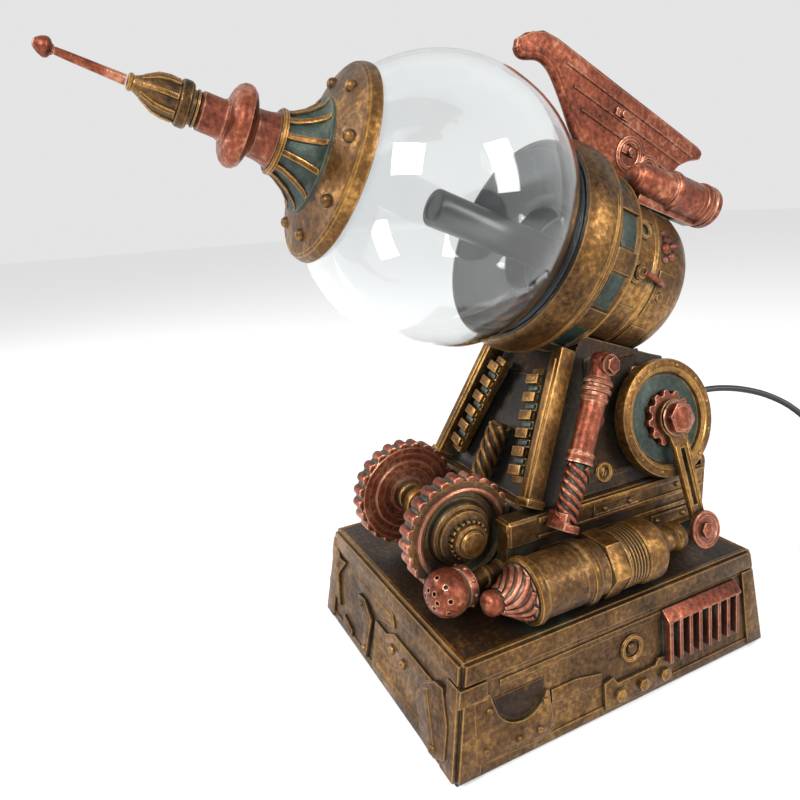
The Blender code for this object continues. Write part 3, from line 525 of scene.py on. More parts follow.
def curved_plate(name, radius, thick, sweep, low, high, bevel=0.35):
    """Plate that follows a cylinder about local Z: a grid, extruded, whose width becomes an angle."""
    clear_selection()
    bpy.ops.mesh.primitive_grid_add(x_subdivisions=8, y_subdivisions=1, size=1.0)
    obj = bpy.context.object
    obj.name = name
    edit(obj)
    bpy.ops.mesh.extrude_region_move(TRANSFORM_OT_translate={"value": (0, 0, 1.0)})
    bpy.ops.mesh.select_all(action="SELECT")
    bpy.ops.mesh.normals_make_consistent(inside=False)
    leave_edit()
    for vertex in obj.data.vertices:
        x, y, z = vertex.co
        angle = math.radians(sweep) * x
        reach = radius + thick * z
        along = low + (high - low) * (y + 0.5)
        vertex.co = Vector((reach * math.cos(angle), reach * math.sin(angle), along)) * MM
    edit(obj)
    bpy.ops.mesh.normals_make_consistent(inside=False)
    leave_edit()
    if bevel:
        soften(obj, bevel, angle=50)
    bpy.ops.object.shade_smooth_by_angle(angle=math.radians(40))
    return obj


def carve(obj, cutter):
    """Take the cutter's shape out of the piece."""
    pick(obj)
    modifier = obj.modifiers.new("Carve", "BOOLEAN")
    modifier.operation = "DIFFERENCE"
    modifier.object = cutter
    bpy.ops.object.modifier_apply(modifier=modifier.name)
    bpy.data.objects.remove(cutter, do_unlink=True)
    bpy.ops.object.shade_smooth_by_angle(angle=math.radians(32))
    return obj


def drill(obj, radius, low, high, matrix, steps=32):
    """Round hole along local Z."""
    return carve(obj, spun("drill", [(0, high), (radius, high), (radius, low), (0, low)], matrix, steps))


def around(count, start=0.0):
    return [about("Z", math.radians(start) + TURN * i / count) for i in range(count)]


def twist(name, radius, thickness, low, high, strands, turns, matrix):
    """Left-handed strands wound side by side about local Z."""
    points = []
    for i in range(TWIST_STEPS + 1):
        share = i / TWIST_STEPS
        angle = -TURN * turns * share
        points.append((radius * math.cos(angle), radius * math.sin(angle), low + (high - low) * share))
    strand = wire(name, points, thickness)
    return copies(strand, [matrix @ turn for turn in around(strands)], name)


# Half width and half depth of the base at the foot and at the top of its walls
HALF_WIDTH, HALF_DEPTH = (75.5, 70.5), (95.5, 86.5)
WALL_RISE = 54.0


def wall_frame(turn, foot, top):
    """Frame on an outer wall of the base: X to the right, Y up the slope from the foot, Z outwards."""
    lean = math.atan2(foot - top, WALL_RISE)
    out = Vector((math.cos(lean), 0, math.sin(lean)))
    rise = Vector((-math.sin(lean), 0, math.cos(lean)))
    base = place((foot, 0, 1.5), Matrix((Vector((0, 1, 0)), rise, out)).transposed())
    return about("Z", turn) @ base


RIGHT_WALL = wall_frame(0.0, *HALF_WIDTH)
LEFT_WALL = wall_frame(math.pi, *HALF_WIDTH)
# The foot of the left wall is the lamp's widest line, so its relief is shallow
SHALLOW = Matrix.Diagonal((1, 1, 0.12, 1))
FRONT_WALL = wall_frame(-math.pi / 2, *HALF_DEPTH)
BACK_WALL = wall_frame(math.pi / 2, *HALF_DEPTH)


# ---------------------------------------------------------------- globe and electrode
def globe():
    inner_radius = GLOBE_RADIUS - GLASS_WALL
    mouth = -math.sqrt(GLOBE_RADIUS ** 2 - NECK_RADIUS ** 2)
    inner_mouth = -math.sqrt(inner_radius ** 2 - (NECK_RADIUS - GLASS_WALL) ** 2)
    outer = [(0.0, GLOBE_RADIUS)] + arc(GLOBE_RADIUS, GLOBE_RADIUS, mouth, 56)[1:]
    inner = arc(inner_radius, inner_radius, inner_mouth, 56)[1:]
    neck = [(NECK_RADIUS, NECK_END), (NECK_RADIUS - GLASS_WALL, NECK_END)]
    profile = outer + neck + inner[::-1] + [(0.0, inner_radius)]
    dress(spun("clear_globe", profile, GUN, 112, smooth=60), GLASS, "stand", ["glass_globe"])
    post = [
        (0, 1.0), (5.0, 1.0), (5.5, 1.5), (7.4, 1.5), (8.2, 1.2), (8.6, 0.5), (8.6, -76), (7.2, -76), (7.2, -0.4),
        (0, -0.4),
    ]
    dress(spun("coated_electrode", post, GUN, 56, smooth=40), COATING, "stand", ["electrode"])
    face = arc(GLOBE_RADIUS + 0.3, -50.5, -58.4, 8)
    back = arc(GLOBE_RADIUS + 1.5, -52.5, -59.0, 8)
    cup = face + [(NECK_RADIUS + 0.6, -62), (NECK_RADIUS + 0.6, -72), (NECK_RADIUS + 3, -72), (NECK_RADIUS + 3, -63)]
    lining = spun("globe_lining", cup + back[::-1], GUN, 80, loop=True, smooth=50)
    dress(lining, LINING, "stand", ["globe_cup"])
    low, high = math.sqrt(GLOBE_RADIUS ** 2 - 52 ** 2) + 0.6, math.sqrt(GLOBE_RADIUS ** 2 - 45 ** 2) + 0.6
    lip = [
        (high, -45.0), (45.2, -44.6), (46.0, -45.2), (46.0, -47.0), (45.7, -57.0), (43.5, -57.0), (low, -52.0),
    ]
    dress(spun("rubber_seal", lip, GUN, 96, loop=True, smooth=40), SEAL, "stand", ["globe_seal"])


# ---------------------------------------------------------------- drum
def drum():
    rim = [
        (46.1, -45.8), (47.4, -44.9), (49.0, -45.2), (50.2, -46.6), (51.0, -48.6), (51.4, -51), (52.0, -53.4),
        (52.0, -57), (51.5, -59.4), (52.0, -60.4), (51.6, -62.2), (50.2, -63.1), (46.0, -63.1), (46.0, -58),
    ]
    dress(spun("drum_rim_ring", rim, GUN, 96, loop=True, smooth=30), GOLD, "stand", ["drum_rim"])
    inner = [(0, -129.5), (25, -127.5), (36, -114), (36, -86), (42.5, -80), (42.5, -63.4)]
    outer = [
        (46.6, -63.4), (47.0, -64.2), (47.0, -67.6), (46.3, -68.2), (45.2, -69.0), (45.2, -79.0), (46.3, -79.6),
        (46.7, -80.2), (46.4, -81.2), (44.6, -81.9), (41.2, -82.3), (40.4, -83.4), (40.4, -97.6), (40.9, -98.0),
        (41.5, -98.6), (41.7, -99.5), (41.5, -100.4), (40.9, -101.0), (40.4, -101.4), (40.4, -114.6), (40.0, -117.8),
        (38.6, -121.8), (37.0, -124.4), (36.3, -124.2), (34.2, -127.6), (29, -130.8), (22, -133.0), (14, -134.0),
        (6, -134.4), (5, -133.6), (0, -133.6),
    ]
    dress(spun("drum_shell", inner + outer, GUN, 96, smooth=30), GOLD, "stand", ["drum_body"])
    bridge = curved_plate("drum_bridge", 44.9, 1.7, 13.0, -79.6, -68.0)
    dress(copies(bridge, [GUN @ turn for turn in around(10)], "drum_bridges"), BRONZE)
    floor = curved_plate("slot_floor", 44.9, 0.6, 20.0, -78.4, -69.6, bevel=0.1)
    dress(copies(floor, [GUN @ turn for turn in around(10, 18)], "slot_floors"), VERDIGRIS)
    panel = curved_plate("drum_panel", 40.2, 0.9, 30.0, -97.0, -84.6, bevel=0.4)
    dress(copies(panel, [GUN @ turn for turn in around(8, 52)[:7]], "drum_panels"), BRONZE)
    rear = curved_plate("rear_panel", 40.2, 0.8, 33.0, -114.0, -102.6, bevel=0.4)
    dress(copies(rear, [GUN @ turn for turn in around(9, 70)[:8]], "rear_panels"), BRONZE)
    out = about("Y", math.pi / 2)

    def on_drum(degrees, along, reach=40.4):
        return GUN @ about("Z", math.radians(degrees)) @ move(reach, 0, along) @ out

    ring = [(2.7, 1.2), (3.4, 1.9), (4.3, 1.9), (4.9, 1.0), (4.9, -0.6), (2.7, -0.6)]
    dress(spun("eyelet_ring", ring, on_drum(28.4, -88.8), 28, loop=True), GOLD)
    well = [(0, 0.5), (2.2, 0.5), (2.9, 0.1), (2.9, -0.6), (0, -0.6)]
    dress(spun("eyelet_well", well, on_drum(28.4, -88.8), 20), VERDIGRIS)
    boss = [(0, 4.2), (2.6, 4.0), (3.6, 3.0), (3.8, 1.4), (5.0, 0.8), (5.4, -0.8), (0, -0.8)]
    dress(spun("peg_boss", boss, on_drum(-0.5, -88.8), 28), GOLD)
    peg = wire(
        "copper_peg", smooth_points([(43.8, 0.0, -89.6), (44.4, -0.6, -95), (43.6, -1.2, -101), (41.0, -1.7, -106)], 6),
        1.5,
    )
    dress(settle(peg, GUN), COPPER)
    knobs = []
    places = [
        (22, -104.5, 3.0), (29, -105.5, 2.4), (33.5, -103.4, 1.8), (18, -108.5, 2.2), (26, -110, 2.6),
        (14.5, -104.6, 1.9),
    ]
    for index, (degrees, along, size) in enumerate(places):
        knob = [(0, size * 0.85), (size * 0.6, size * 0.7), (size * 0.95, size * 0.25), (size, -0.6), (0, -0.6)]
        knobs.append(spun(f"lump_{index}", knob, on_drum(degrees, along), 14, smooth=60))
    dress(joined(knobs, "copper_lumps"), COPPER)
    button = [(0, 2.0), (2.0, 1.7), (2.6, 0.6), (3.6, 0.3), (3.8, -0.6), (0, -0.6)]
    dress(spun("lower_boss", button, on_drum(-10, -107), 22), BRONZE)
    rivet = stud("rivet", 1.3, 0.9, ORIGIN, 12)
    spots = [on_drum(a, -66.0, 46.8) for a in range(0, 360, 18)]
    dress(copies(rivet, spots, "drum_rivets"), GOLD)


# ---------------------------------------------------------------- nozzle
def nozzle():
    seat = arc(GLOBE_RADIUS + 0.35, 58.5, 51.0, 6)
    flange = [
        (22.2, 60.3), (23.6, 61.0), (25.0, 60.5), (27.4, 59.6), (30.6, 58.5), (35.6, 56.6), (37.4, 56.1), (38.6, 56.0),
        (39.8, 55.2), (40.6, 53.6), (41.0, 51.8), (40.9, 50.8), (40.0, 50.2),
    ]
    whole = spun("flange_ring", flange + seat[::-1], GUN, 96, loop=True, smooth=28)
    dress(whole, GOLD, "stand", ["nozzle_flange"])
    rivet = spun(
        "flange_rivet", [(0, 2.7), (1.3, 2.4), (2.3, 1.4), (2.7, 0), (2.7, -1), (0, -1)], ORIGIN, 18, smooth=50,
    )
    lean = about("Y", math.radians(20))
    spots = [GUN @ turn @ move(31.6, 0, 58.0) @ lean for turn in around(8, 10)]
    dress(copies(rivet, spots, "flange_rivets"), GOLD)
    bell = [
        (0, 77), (11.0, 77), (12.0, 76.4), (12.3, 75.4), (11.6, 74.6), (12.0, 73), (15.0, 68), (18.6, 64.2),
        (21.4, 62.6),
        (23.4, 62.4), (23.6, 60.9), (19.8, 61.1), (12, 63.4), (0, 64.5),
    ]
    body = spun("bell_shell", bell, GUN, 72, smooth=30)
    dress(body, VERDIGRIS, "stand", ["nozzle_bell"])
    outline = [
        (11.0, 76.6), (12.4, 75.9), (13.6, 72.6), (16.8, 67.6), (20.8, 63.6), (23.2, 62.6), (21.0, 61.8), (16, 65),
        (12, 71),
    ]
    rib = slab("bell_rib", outline, -1.25, 1.25, ORIGIN, bevel=0.6)
    spots = [GUN @ turn @ about("X", math.pi / 2) for turn in around(12, 7)]
    dress(copies(rib, spots, "bell_ribs"), GOLD)
    collar = [(10.6, 77.4), (12.2, 77.3), (13.0, 76.5), (12.9, 75.2), (11.6, 74.8), (10.6, 75.2)]
    dress(spun("bell_collar", collar, GUN, 56, loop=True), GOLD)
    neck = [
        (0, 106.4), (6.2, 106.4), (7.2, 105.4), (7.3, 98.4), (7.9, 97.0), (9.0, 96.2), (10.6, 96.0), (12.4, 95.4),
        (14.4, 94.2), (15.6, 92.6), (15.9, 91.0), (15.5, 89.4), (14.2, 88.0), (12.2, 87.0), (10.8, 86.6), (9.9, 86.3),
        (9.3, 85.4), (9.3, 84), (9.7, 81), (10.4, 78.4), (10.6, 77.3), (0, 77.3),
    ]
    dress(spun("copper_neck", neck, GUN, 64, smooth=28), COPPER, "stand", ["nozzle_neck"])
    sleeve = [
        (0, 131), (2.2, 131), (3.0, 130.6), (3.2, 129.6), (2.7, 129.0), (3.2, 127.8), (5.2, 124.2), (6.6, 121.2),
        (7.0, 118), (7.0, 114.0), (8.2, 113.4), (8.6, 112.4), (8.6, 110.2), (8.0, 109.3), (6.4, 109.0), (6.2, 108.0),
        (6.9, 107.6), (6.9, 106.8), (0, 106.7),
    ]
    whole = spun("fluted_sleeve", sleeve, GUN, 56, smooth=28)
    dress(whole, BRONZE, "stand", ["nozzle_sleeve"])
    outline = [(5.8, 113.6), (8.0, 114.0), (8.0, 118.0), (7.2, 121.6), (4.2, 126.4), (3.2, 126.8), (5, 121)]
    flute = slab("flute", outline, -0.95, 0.95, ORIGIN, bevel=0.5)
    spots = [GUN @ turn @ about("X", math.pi / 2) for turn in around(8)]
    dress(copies(flute, spots, "sleeve_flutes"), GOLD)
    rod = [(0, 154.2), (1.3, 154.2), (1.5, 150), (1.7, 140), (1.9, 131.3), (0, 131.3)]
    dress(spun("emitter_rod", rod, GUN, 24), COPPER, "stand", ["nozzle_rod"])
    bead = [
        (0, 160.8), (0.9, 160.6), (1.8, 159.9), (2.8, 158.6), (3.4, 157.2), (3.4, 156.4), (3.0, 155.6), (2.0, 155.0),
        (1.5, 154.3), (0, 154.3),
    ]
    dress(spun("emitter_bead", bead, GUN, 28, smooth=40), COPPER, "stand", ["nozzle_tip"])


# ---------------------------------------------------------------- fin and scope
def fin():
    ridge = [(-148, 80.5), (-143, 82.3), (-112, 85), (-80, 87.6), (-52, 90), (-36, 91), (-27, 90.2), (-19.5, 85)]
    outline = [
        (-84.6, 42.4), (-124, 41.8), (-126.5, 52), (-129, 62), (-133, 69), (-139, 73.5), (-146, 77), (-146.5, 80.5),
        (-143, 82), (-112, 84.4), (-80, 87), (-52, 89.4), (-36, 91), (-28, 90.6), (-22, 88.4), (-15, 82), (-16, 77),
        (-21, 76.5), (-29, 81), (-34, 81), (-38, 79), (-50, 69.5), (-63, 57.6), (-70, 54), (-76, 52), (-83.0, 48.2),
    ]
    web = slab("fin_web", [(up, along) for along, up in outline], -1.9, 1.9, GUN @ ACROSS, bevel=0.8)
    dress(web, COPPER, "stand", ["tail_fin"])
    top = [
        (-145.6, 80.2), (-142, 81.3), (-112, 83.9), (-80, 86.5), (-52, 88.9), (-36, 90.2), (-28, 89.8), (-20, 85.2),
        (-16.6, 81.0),
    ]
    dress(wire("fin_ridge", [(0, up, along) for along, up in top], 1.7, GUN, sides=5), COPPER)
    front = smooth_points(
        [
            (-83.4, 47.0, 0), (-76, 51.6, 0), (-63, 57.4, 0), (-50, 69.2, 0), (-38, 78.6, 0), (-29, 80.6, 0),
            (-20, 77.4, 0), (-16.4, 79.6, 0),
        ],
        5,
    )
    lip = wire("fin_front_roll", [(0, p.y, p.x) for p in front], 2.3, GUN, sides=5)
    dress(lip, COPPER)
    lines = []
    for index, (down, start, end) in enumerate([(6.5, -139, -44), (13.5, -133, -52), (20.5, -129, -60)]):
        path = []
        for i in range(13):
            along = start + (end - start) * i / 12
            path.append((0, 91 + (along + 36) * 0.081 - down, along))
        for side in (-1, 1):
            lines.append(wire(f"line_{index}", [(side * 1.9, up, along) for _, up, along in path], 0.7, GUN))
    dress(joined(lines, "fin_lines"), COPPER)
    lobes = []
    for side in (-1, 1):
        for along, up, size in [(-112, 58, 8.0), (-97, 61, 9.0)]:
            turn = GUN @ move(side * 1.4, up, along) @ about("Y", side * math.pi / 2)
            lobes.append(
                spun(
                    "lobe", [(size * 0.62, 1.0), (size * 0.8, 1.5), (size, 1.0), (size, -0.4), (size * 0.62, -0.4)],
                    turn, 28, loop=True,
                )
            )
    dress(joined(lobes, "fin_scallops"), COPPER)
    latches = []
    for side in (-1, 1):
        for along, up in [(-84, 76.0), (-95, 62.0)]:
            spot = GUN @ move(side * 1.9, up, along)
            latches.append(
                slab("latch", rectangle(-4.5, -2.0, 4.5, 2.0), -1.6, 1.6, spot @ about("Y", math.pi / 2), bevel=0.6)
            )
            knob = [(0, 3.4), (1.5, 3.1), (2.0, 2.0), (1.6, 0.8), (1.8, -0.5), (0, -0.5)]
            latches.append(spun("latch_knob", knob, spot @ about("Y", side * math.pi / 2), 16))
    dress(joined(latches, "fin_latches"), COPPER)


def scope():
    front, rear = gun_point(23, 43.8, -83), gun_point(23, 46.8, -138)
    frame_of_scope = aim(front, rear)
    length = (rear - front).length
    body = [
        (0, length - 1.0), (6.4, length - 1.0), (7.0, length), (9.0, length), (10.2, length - 0.6), (10.6, length - 2),
        (10.6, length - 4.2), (9.9, length - 4.7), (9.9, length - 5.5), (10.6, length - 6), (10.6, length - 8),
        (10.0, length - 9.0), (9.2, length - 9.6), (9.2, length - 12), (9.5, length - 12.6), (9.4, length - 26),
        (9.8, length - 27), (10.1, length - 28.4), (10.1, length - 30), (9.6, length - 31.2), (8.5, length - 31.8),
        (8.3, length - 33), (7.8, 8), (7.4, 4.6), (6.6, 2.2), (5.0, 0.6), (3.0, 0), (0, 0),
    ]
    whole = spun("scope_tube", body, frame_of_scope, 48, smooth=26)
    dress(whole, COPPER, "stand", ["scope_body"])
    foot = slab(
        "scope_foot", [(-3, 0), (-3, 40), (3, 40), (3, 0)], -11.5, -6.5,
        frame_of_scope @ move(0, 0, 6) @ about("X", math.pi / 2), bevel=0.6,
    )
    dress(foot, COPPER)


# ---------------------------------------------------------------- gears
def gear_pair():
    y, z = GEAR_AXIS
    for side, word in ((1, "right"), (-1, "left")):
        axis = place((side * GEAR_PLACE_X, y, z), Matrix.Rotation(side * math.pi / 2, 3, "Y"))
        web = [
            (4.3, 1.5), (14.6, 1.5), (15.4, 1.9), (17.4, 1.9), (18.0, 1.3), (19.6, 1.3), (20.6, 4.0), (21.6, 4.5),
            (22.6, 4.5), (23.2, 3.9), (25.9, 3.7), (26.2, 3.0), (26.2, -3.6), (25.4, -4.3), (22.4, -4.5), (21.8, -3.6),
            (18.6, -3.6), (18.0, -4.4), (14.2, -4.5), (13.4, -3.2), (9.6, -3.2), (9.0, -4.5), (6.2, -4.5), (5.6, -3.8),
            (4.3, -3.8),
        ]
        disc = spun(f"gear_web_{word}", web, axis, 72, loop=True, smooth=28)
        dress(disc, BRONZE if side > 0 else COPPER, "gears", [f"gear_wheel_{word}"])
        outline = [(25.6, -3.0), (27.2, -2.6), (28.35, -1.3), (28.5, 0), (28.35, 1.3), (27.2, 2.6), (25.6, 3.0)]
        tooth = slab("tooth", outline, -4.3, 4.3, ORIGIN, bevel=0.9)
        dress(copies(tooth, [axis @ turn for turn in around(24)], f"gear_teeth_{word}"), COPPER, "gears")
        band = [(20.9, 4.2), (21.3, 5.3), (22.2, 5.7), (23.1, 5.3), (23.5, 4.2), (23.0, 3.6), (21.4, 3.6)]
        dress(spun(f"gear_ring_{word}", band, axis, 72, loop=True), COPPER, "gears")
        filler = slab("gap", [(25.9, -1.1), (26.9, -0.8), (26.9, 0.8), (25.9, 1.1)], -3.4, 3.4, ORIGIN, bevel=0.3)
        gaps = copies(filler, [axis @ turn for turn in around(24, 7.5)], f"gear_gaps_{word}")
        dress(gaps, VERDIGRIS, "gears")
        hub = [
            (4.3, 13.8), (7.4, 13.8), (8.2, 13.2), (8.5, 12.3), (8.5, 10.4), (8.0, 10.0), (8.0, 8.4), (11.6, 8.0),
            (12.8, 7.6), (13.2, 6.8), (13.4, 5.4), (14.8, 5.1), (15.4, 4.3), (15.8, 3.2), (15.8, 1.8), (4.3, 1.8),
        ]
        stepped = spun(f"gear_boss_{word}", hub, axis, 56, loop=True, smooth=28)
        dress(stepped, BRONZE, "gears", [f"gear_hub_{word}"])
        fine = slab("fine_tooth", rectangle(7.6, -0.75, 9.7, 0.75), 8.2, 11.4, ORIGIN, bevel=0.3)
        dress(copies(fine, [axis @ turn for turn in around(20)], f"fine_teeth_{word}"), GOLD, "gears")
    half = [(0, 42.6), (3.4, 42.5), (5.4, 41.9), (6.0, 41.0), (6.0, 40.9), (4.0, 40.9), (4.0, 24)]
    collar = [(4.0, 22.4), (6.6, 22.2), (7.4, 21.2), (7.4, 19.0), (6.8, 18.2), (4.0, 18.0), (4.0, 13)]
    profile = half + collar
    profile += [(radius, -height) for radius, height in reversed(profile)]
    crosswise = place((0, y, z), Matrix.Rotation(math.pi / 2, 3, "Y"))
    axle = spun("gear_shaft", profile, crosswise, 40, smooth=28)
    dress(axle, GOLD, "gears", ["gear_axle"])
    reach = -45.3 - y
    outline = [(reach, -10.0), (reach, 6.0)]
    outline += round_points(8.5, 8.5, range(60, 301, 10))
    cheek = slab("cheek", outline, 6.4, 11.4, ORIGIN, bevel=0.7, panel=(1.6, 0.6))
    mirror = Matrix.Diagonal((1, 1, -1, 1))
    pair = copies(cheek, [place((0, y, z)) @ ACROSS, place((0, y, z)) @ ACROSS @ mirror], "bearing_cheeks")
    core = slab(
        "bearing_core", [(p[0] * 0.94, p[1] * 0.94) for p in outline], -6.6, 6.6, place((0, y, z)) @ ACROSS, bevel=0.5,
    )
    block = joined([pair, core], "bearing_block")
    drill(block, 4.4, -20, 20, crosswise)
    dress(block, GOLD, "stand", ["axle_bearing"])


# ---------------------------------------------------------------- flywheel and crank
def flywheel():
    disc = [
        (4.4, -3.6), (22.0, -3.6), (22.8, -3.0), (23.2, -1.2), (24.0, -0.5), (25.0, -0.5), (25.4, 0.0), (28.8, 0.0),
        (29.6, -0.4), (30.0, -1.2), (30.0, -6.0), (29.6, -6.7), (28.8, -7.0), (4.4, -7.0),
    ]
    rim = spun("flywheel_rim", disc, SIDE, 96, loop=True, smooth=28)
    dress(rim, GOLD, "flywheel", ["flywheel_disc"])
    dish = [(14.0, -3.4), (21.8, -3.4), (22.2, -3.0), (21.6, -2.9), (17.4, -3.0), (16.6, -2.6), (14.0, -2.6)]
    dress(spun("flywheel_dish", dish, SIDE, 72, loop=True), VERDIGRIS, "flywheel")
    rivet = stud("rim_rivet", 0.9, 0.6, ORIGIN, 10)
    spots = [SIDE @ turn @ move(27.2, 0, 0) for turn in around(12, 8)]
    dress(copies(rivet, spots, "rim_rivets"), GOLD, "flywheel")
    outline = []
    for tooth in range(12):
        for share, radius in ((-0.5, 12.0), (-0.34, 12.2), (-0.2, 14.2), (0.0, 14.5), (0.2, 14.2), (0.34, 12.2)):
            angle = TURN / 12 * (tooth + share)
            outline.append((radius * math.cos(angle), radius * math.sin(angle)))
    gear = slab("flywheel_teeth", outline, -3.3, 0.4, SIDE, bevel=0.5)
    drill(gear, 4.4, -9, 9, SIDE)
    dress(gear, COPPER, "flywheel", ["flywheel_gear"])
    crown = slab("hub_crown", ring_outline(8.3, 6, math.radians(15)), 4.4, 8.6, SIDE, bevel=0.9)
    dome = [(0, 9.9), (2.6, 9.7), (4.8, 9.0), (6.0, 8.4), (6.4, 7.6), (0, 7.6)]
    shaft = [(0, 6), (4, 6), (4, -7), (0, -7)]
    ring = [(4.2, 4.1), (8.6, 4.1), (9.0, 4.5), (8.6, 5.0), (4.2, 5.0)]
    parts = [crown, spun("hub_dome", dome, SIDE, 40, smooth=50), spun("hub_shaft", shaft, SIDE, 32)]
    parts.append(spun("hub_ring", ring, SIDE, 48, loop=True))
    dress(joined(parts, "flywheel_nut"), COPPER, "flywheel", ["flywheel_hub"])


def crank():
    length = math.hypot(CRANK_BACK, CRANK_DROP)
    at_crank = SIDE @ about("Z", math.atan2(CRANK_BACK, CRANK_DROP))
    eye = round_points(9.6, 9.6, range(40, 321, 8))
    end = round_points(5.4, 5.4, range(-60, 61, 10), length)
    outline = end + [(length - 6, 4.0), (14, 5.0)] + eye + [(14, -5.0), (length - 6, -4.0)]
    arm = slab("lever_arm", outline, 0.9, 3.4, at_crank, bevel=0.45)
    drill(arm, 4.4, -9, 9, at_crank)
    carve(arm, slab("slot_cut", rectangle(15.5, -1.5, length - 13, 1.5), -4, 9, at_crank, bevel=0.0))
    rails = []
    for side in (-1, 1):
        rail = slab(
            "rail",
            [(13.5, side * 4.9), (13.5, side * 3.1), (length - 8, side * 2.6), (length - 8, side * 4.0)][:: side], 3.2,
            3.9, at_crank, bevel=0.2,
        )
        rails.append(rail)
    dress(joined([arm] + rails, "lever"), GOLD, "crank", ["crank_arm"])
    washer = [
        (0, 6.0), (6.4, 6.0), (7.0, 6.7), (8.8, 6.8), (9.4, 6.4), (9.6, 5.8), (9.6, 4.6), (9.2, 4.2), (0, 4.2),
    ]
    pin_place = at_crank @ move(length, 0, 0)
    disc = spun("pin_washer", washer, pin_place, 48)
    bolt = slab("pin_bolt", ring_outline(4.3, 6, 0.3), 5.8, 8.0, pin_place, bevel=0.6)
    cap = spun("pin_cap", [(0, 8.2), (1.6, 8.1), (2.6, 7.8), (3.0, 7.2), (0, 7.2)], pin_place, 24, smooth=50)
    dress(joined([disc, bolt, cap], "crank_bolt"), COPPER, "crank", ["crank_pin"])
    boss = [(0, -7.3), (9, -7.3), (10.5, -8.0), (10.5, -8.9), (0, -8.9)]
    dress(spun("wheel_bearing", boss, SIDE, 48), DARK_BRONZE, "stand", ["flywheel_bearing"])


# ---------------------------------------------------------------- steam cylinder
def steam_cylinder():
    nose = [
        (0, -49.6), (12.6, -49.6), (12.9, -50.4), (12.2, -52.2), (8.8, -56.8), (5.6, -60.8), (5.0, -61.8), (5.2, -62.8),
        (5.7, -64), (5.6, -66), (5.2, -67.2), (4.2, -68.3), (2.8, -69.0), (1.4, -69.2), (0, -69.2),
    ]
    core = [(radius * 0.86 if -61 < along < -50 else radius, along) for radius, along in nose]
    cone = spun("turbine_core", core, CYLINDER, 48, smooth=35)
    dress(cone, COPPER, "stand", ["turbine_cap"])
    path = []
    for i in range(15):
        share = i / 14
        angle = math.radians(70) * share ** 0.8
        radius = 12.0 + (5.0 - 12.0) * share
        path.append((radius * math.cos(angle), radius * math.sin(angle), -50.3 - 10.9 * share))
    vane = wire("vane", path, 1.2)
    dress(copies(vane, [CYLINDER @ turn for turn in around(12)], "turbine_vanes"), COPPER)
    barrel = [
        (0, -41.0), (6.6, -41.0), (6.6, -9.2), (13.0, -9.2), (13.4, -9.6), (13.4, -14.8), (14.2, -15.3), (15.0, -15.8),
        (15.3, -16.6), (15.3, -18.8), (14.9, -19.8), (14.2, -20.4), (13.9, -21.2), (13.9, -23.0), (14.2, -23.4),
        (14.2, -44.4), (14.6, -44.8), (15.1, -45.4), (15.3, -46.2), (15.3, -47.8), (14.9, -48.7), (14.0, -49.3),
        (0, -49.3),
    ]
    tube = spun("barrel_tube", barrel, CYLINDER, 72, smooth=28)
    dress(tube, BRONZE, "stand", ["cylinder_barrel"])
    for name, low, high in (("barrel_ring_a", -48.9, -45.1), ("barrel_ring_b", -19.8, -15.8)):
        middle = (low + high) / 2
        hoop = [(14.0, low), (15.0, low), (15.5, middle - 0.8), (15.5, middle + 0.8), (15.0, high), (14.0, high)]
        dress(spun(name, hoop, CYLINDER, 72, loop=True), GOLD)
    nut = slab("hex_nut", ring_outline(16.0, 6), -8.9, 0.4, ORIGIN, bevel=0.7)
    drill(nut, 6.6, -19, 9, ORIGIN, 40)
    chamfer = [(14.7, -9.6), (19, -9.6), (19, -6.8)]
    carve(nut, spun("nut_chamfer", chamfer, ORIGIN, 60, loop=True))
    dress(settle(nut, CYLINDER), GOLD, "stand", ["gland_nut"])
    gland = [(6.6, 12.4), (14.0, 12.4), (14.4, 12.0)]
    for groove in (10.6, 8.8, 7.0, 5.2, 3.4):
        gland += [
            (14.4, groove + 0.5), (13.9, groove + 0.2), (13.1, groove - 0.3), (13.9, groove - 0.7),
            (14.4, groove - 0.9),
        ]
    gland += [(14.4, 1.1), (14.0, 0.7), (6.6, 0.7)]
    packing = spun("gland_body", gland, CYLINDER, 72, loop=True, smooth=28)
    dress(packing, BRONZE, "stand", ["packing_gland"])
    head = [
        (6.6, 31.5), (8.2, 31.5), (8.8, 31.0), (10.4, 29.2), (12.4, 27), (13.6, 25.2), (14.0, 24.4), (14.6, 23.8),
        (15.2, 23.0), (15.3, 22.2), (15.3, 14.2), (15.0, 13.2), (14.4, 12.7), (6.6, 12.7),
    ]
    dress(spun("head_cone", head, CYLINDER, 72, loop=True, smooth=28), GOLD, "stand", ["cylinder_head"])
    rod = [
        (0, 46.0), (6.0, 46.0), (6.7, 45.7), (7.0, 45.0), (7.0, 42.2), (6.6, 41.5), (5.9, 41.1), (5.9, 38), (6.1, 37.6),
        (6.1, 36.8), (5.9, 36.4), (5.9, 16.0), (0, 16.0),
    ]
    shaft = spun("sliding_rod", rod, CYLINDER, 48, smooth=28)
    pin = FLY_CENTRE + SIDE.to_3x3() @ Vector((CRANK_DROP, CRANK_BACK, 2.4))
    tip_y = pin.y + 4.9
    outline = [(44.2, -4.4), (tip_y - 4.4, -4.4)]
    outline += round_points(4.4, 4.4, range(-75, 76, 15), tip_y - 4.4)
    outline += [(tip_y - 4.4, 4.4), (44.2, 4.4)]
    tongue = slab("rod_tongue", outline, 53.3, 57.3, place((0, 0, CYL_AXIS[1])) @ ACROSS, bevel=0.6)
    dress(joined([shaft, tongue], "rod_and_tongue"), GOLD, "piston", ["piston_rod"])


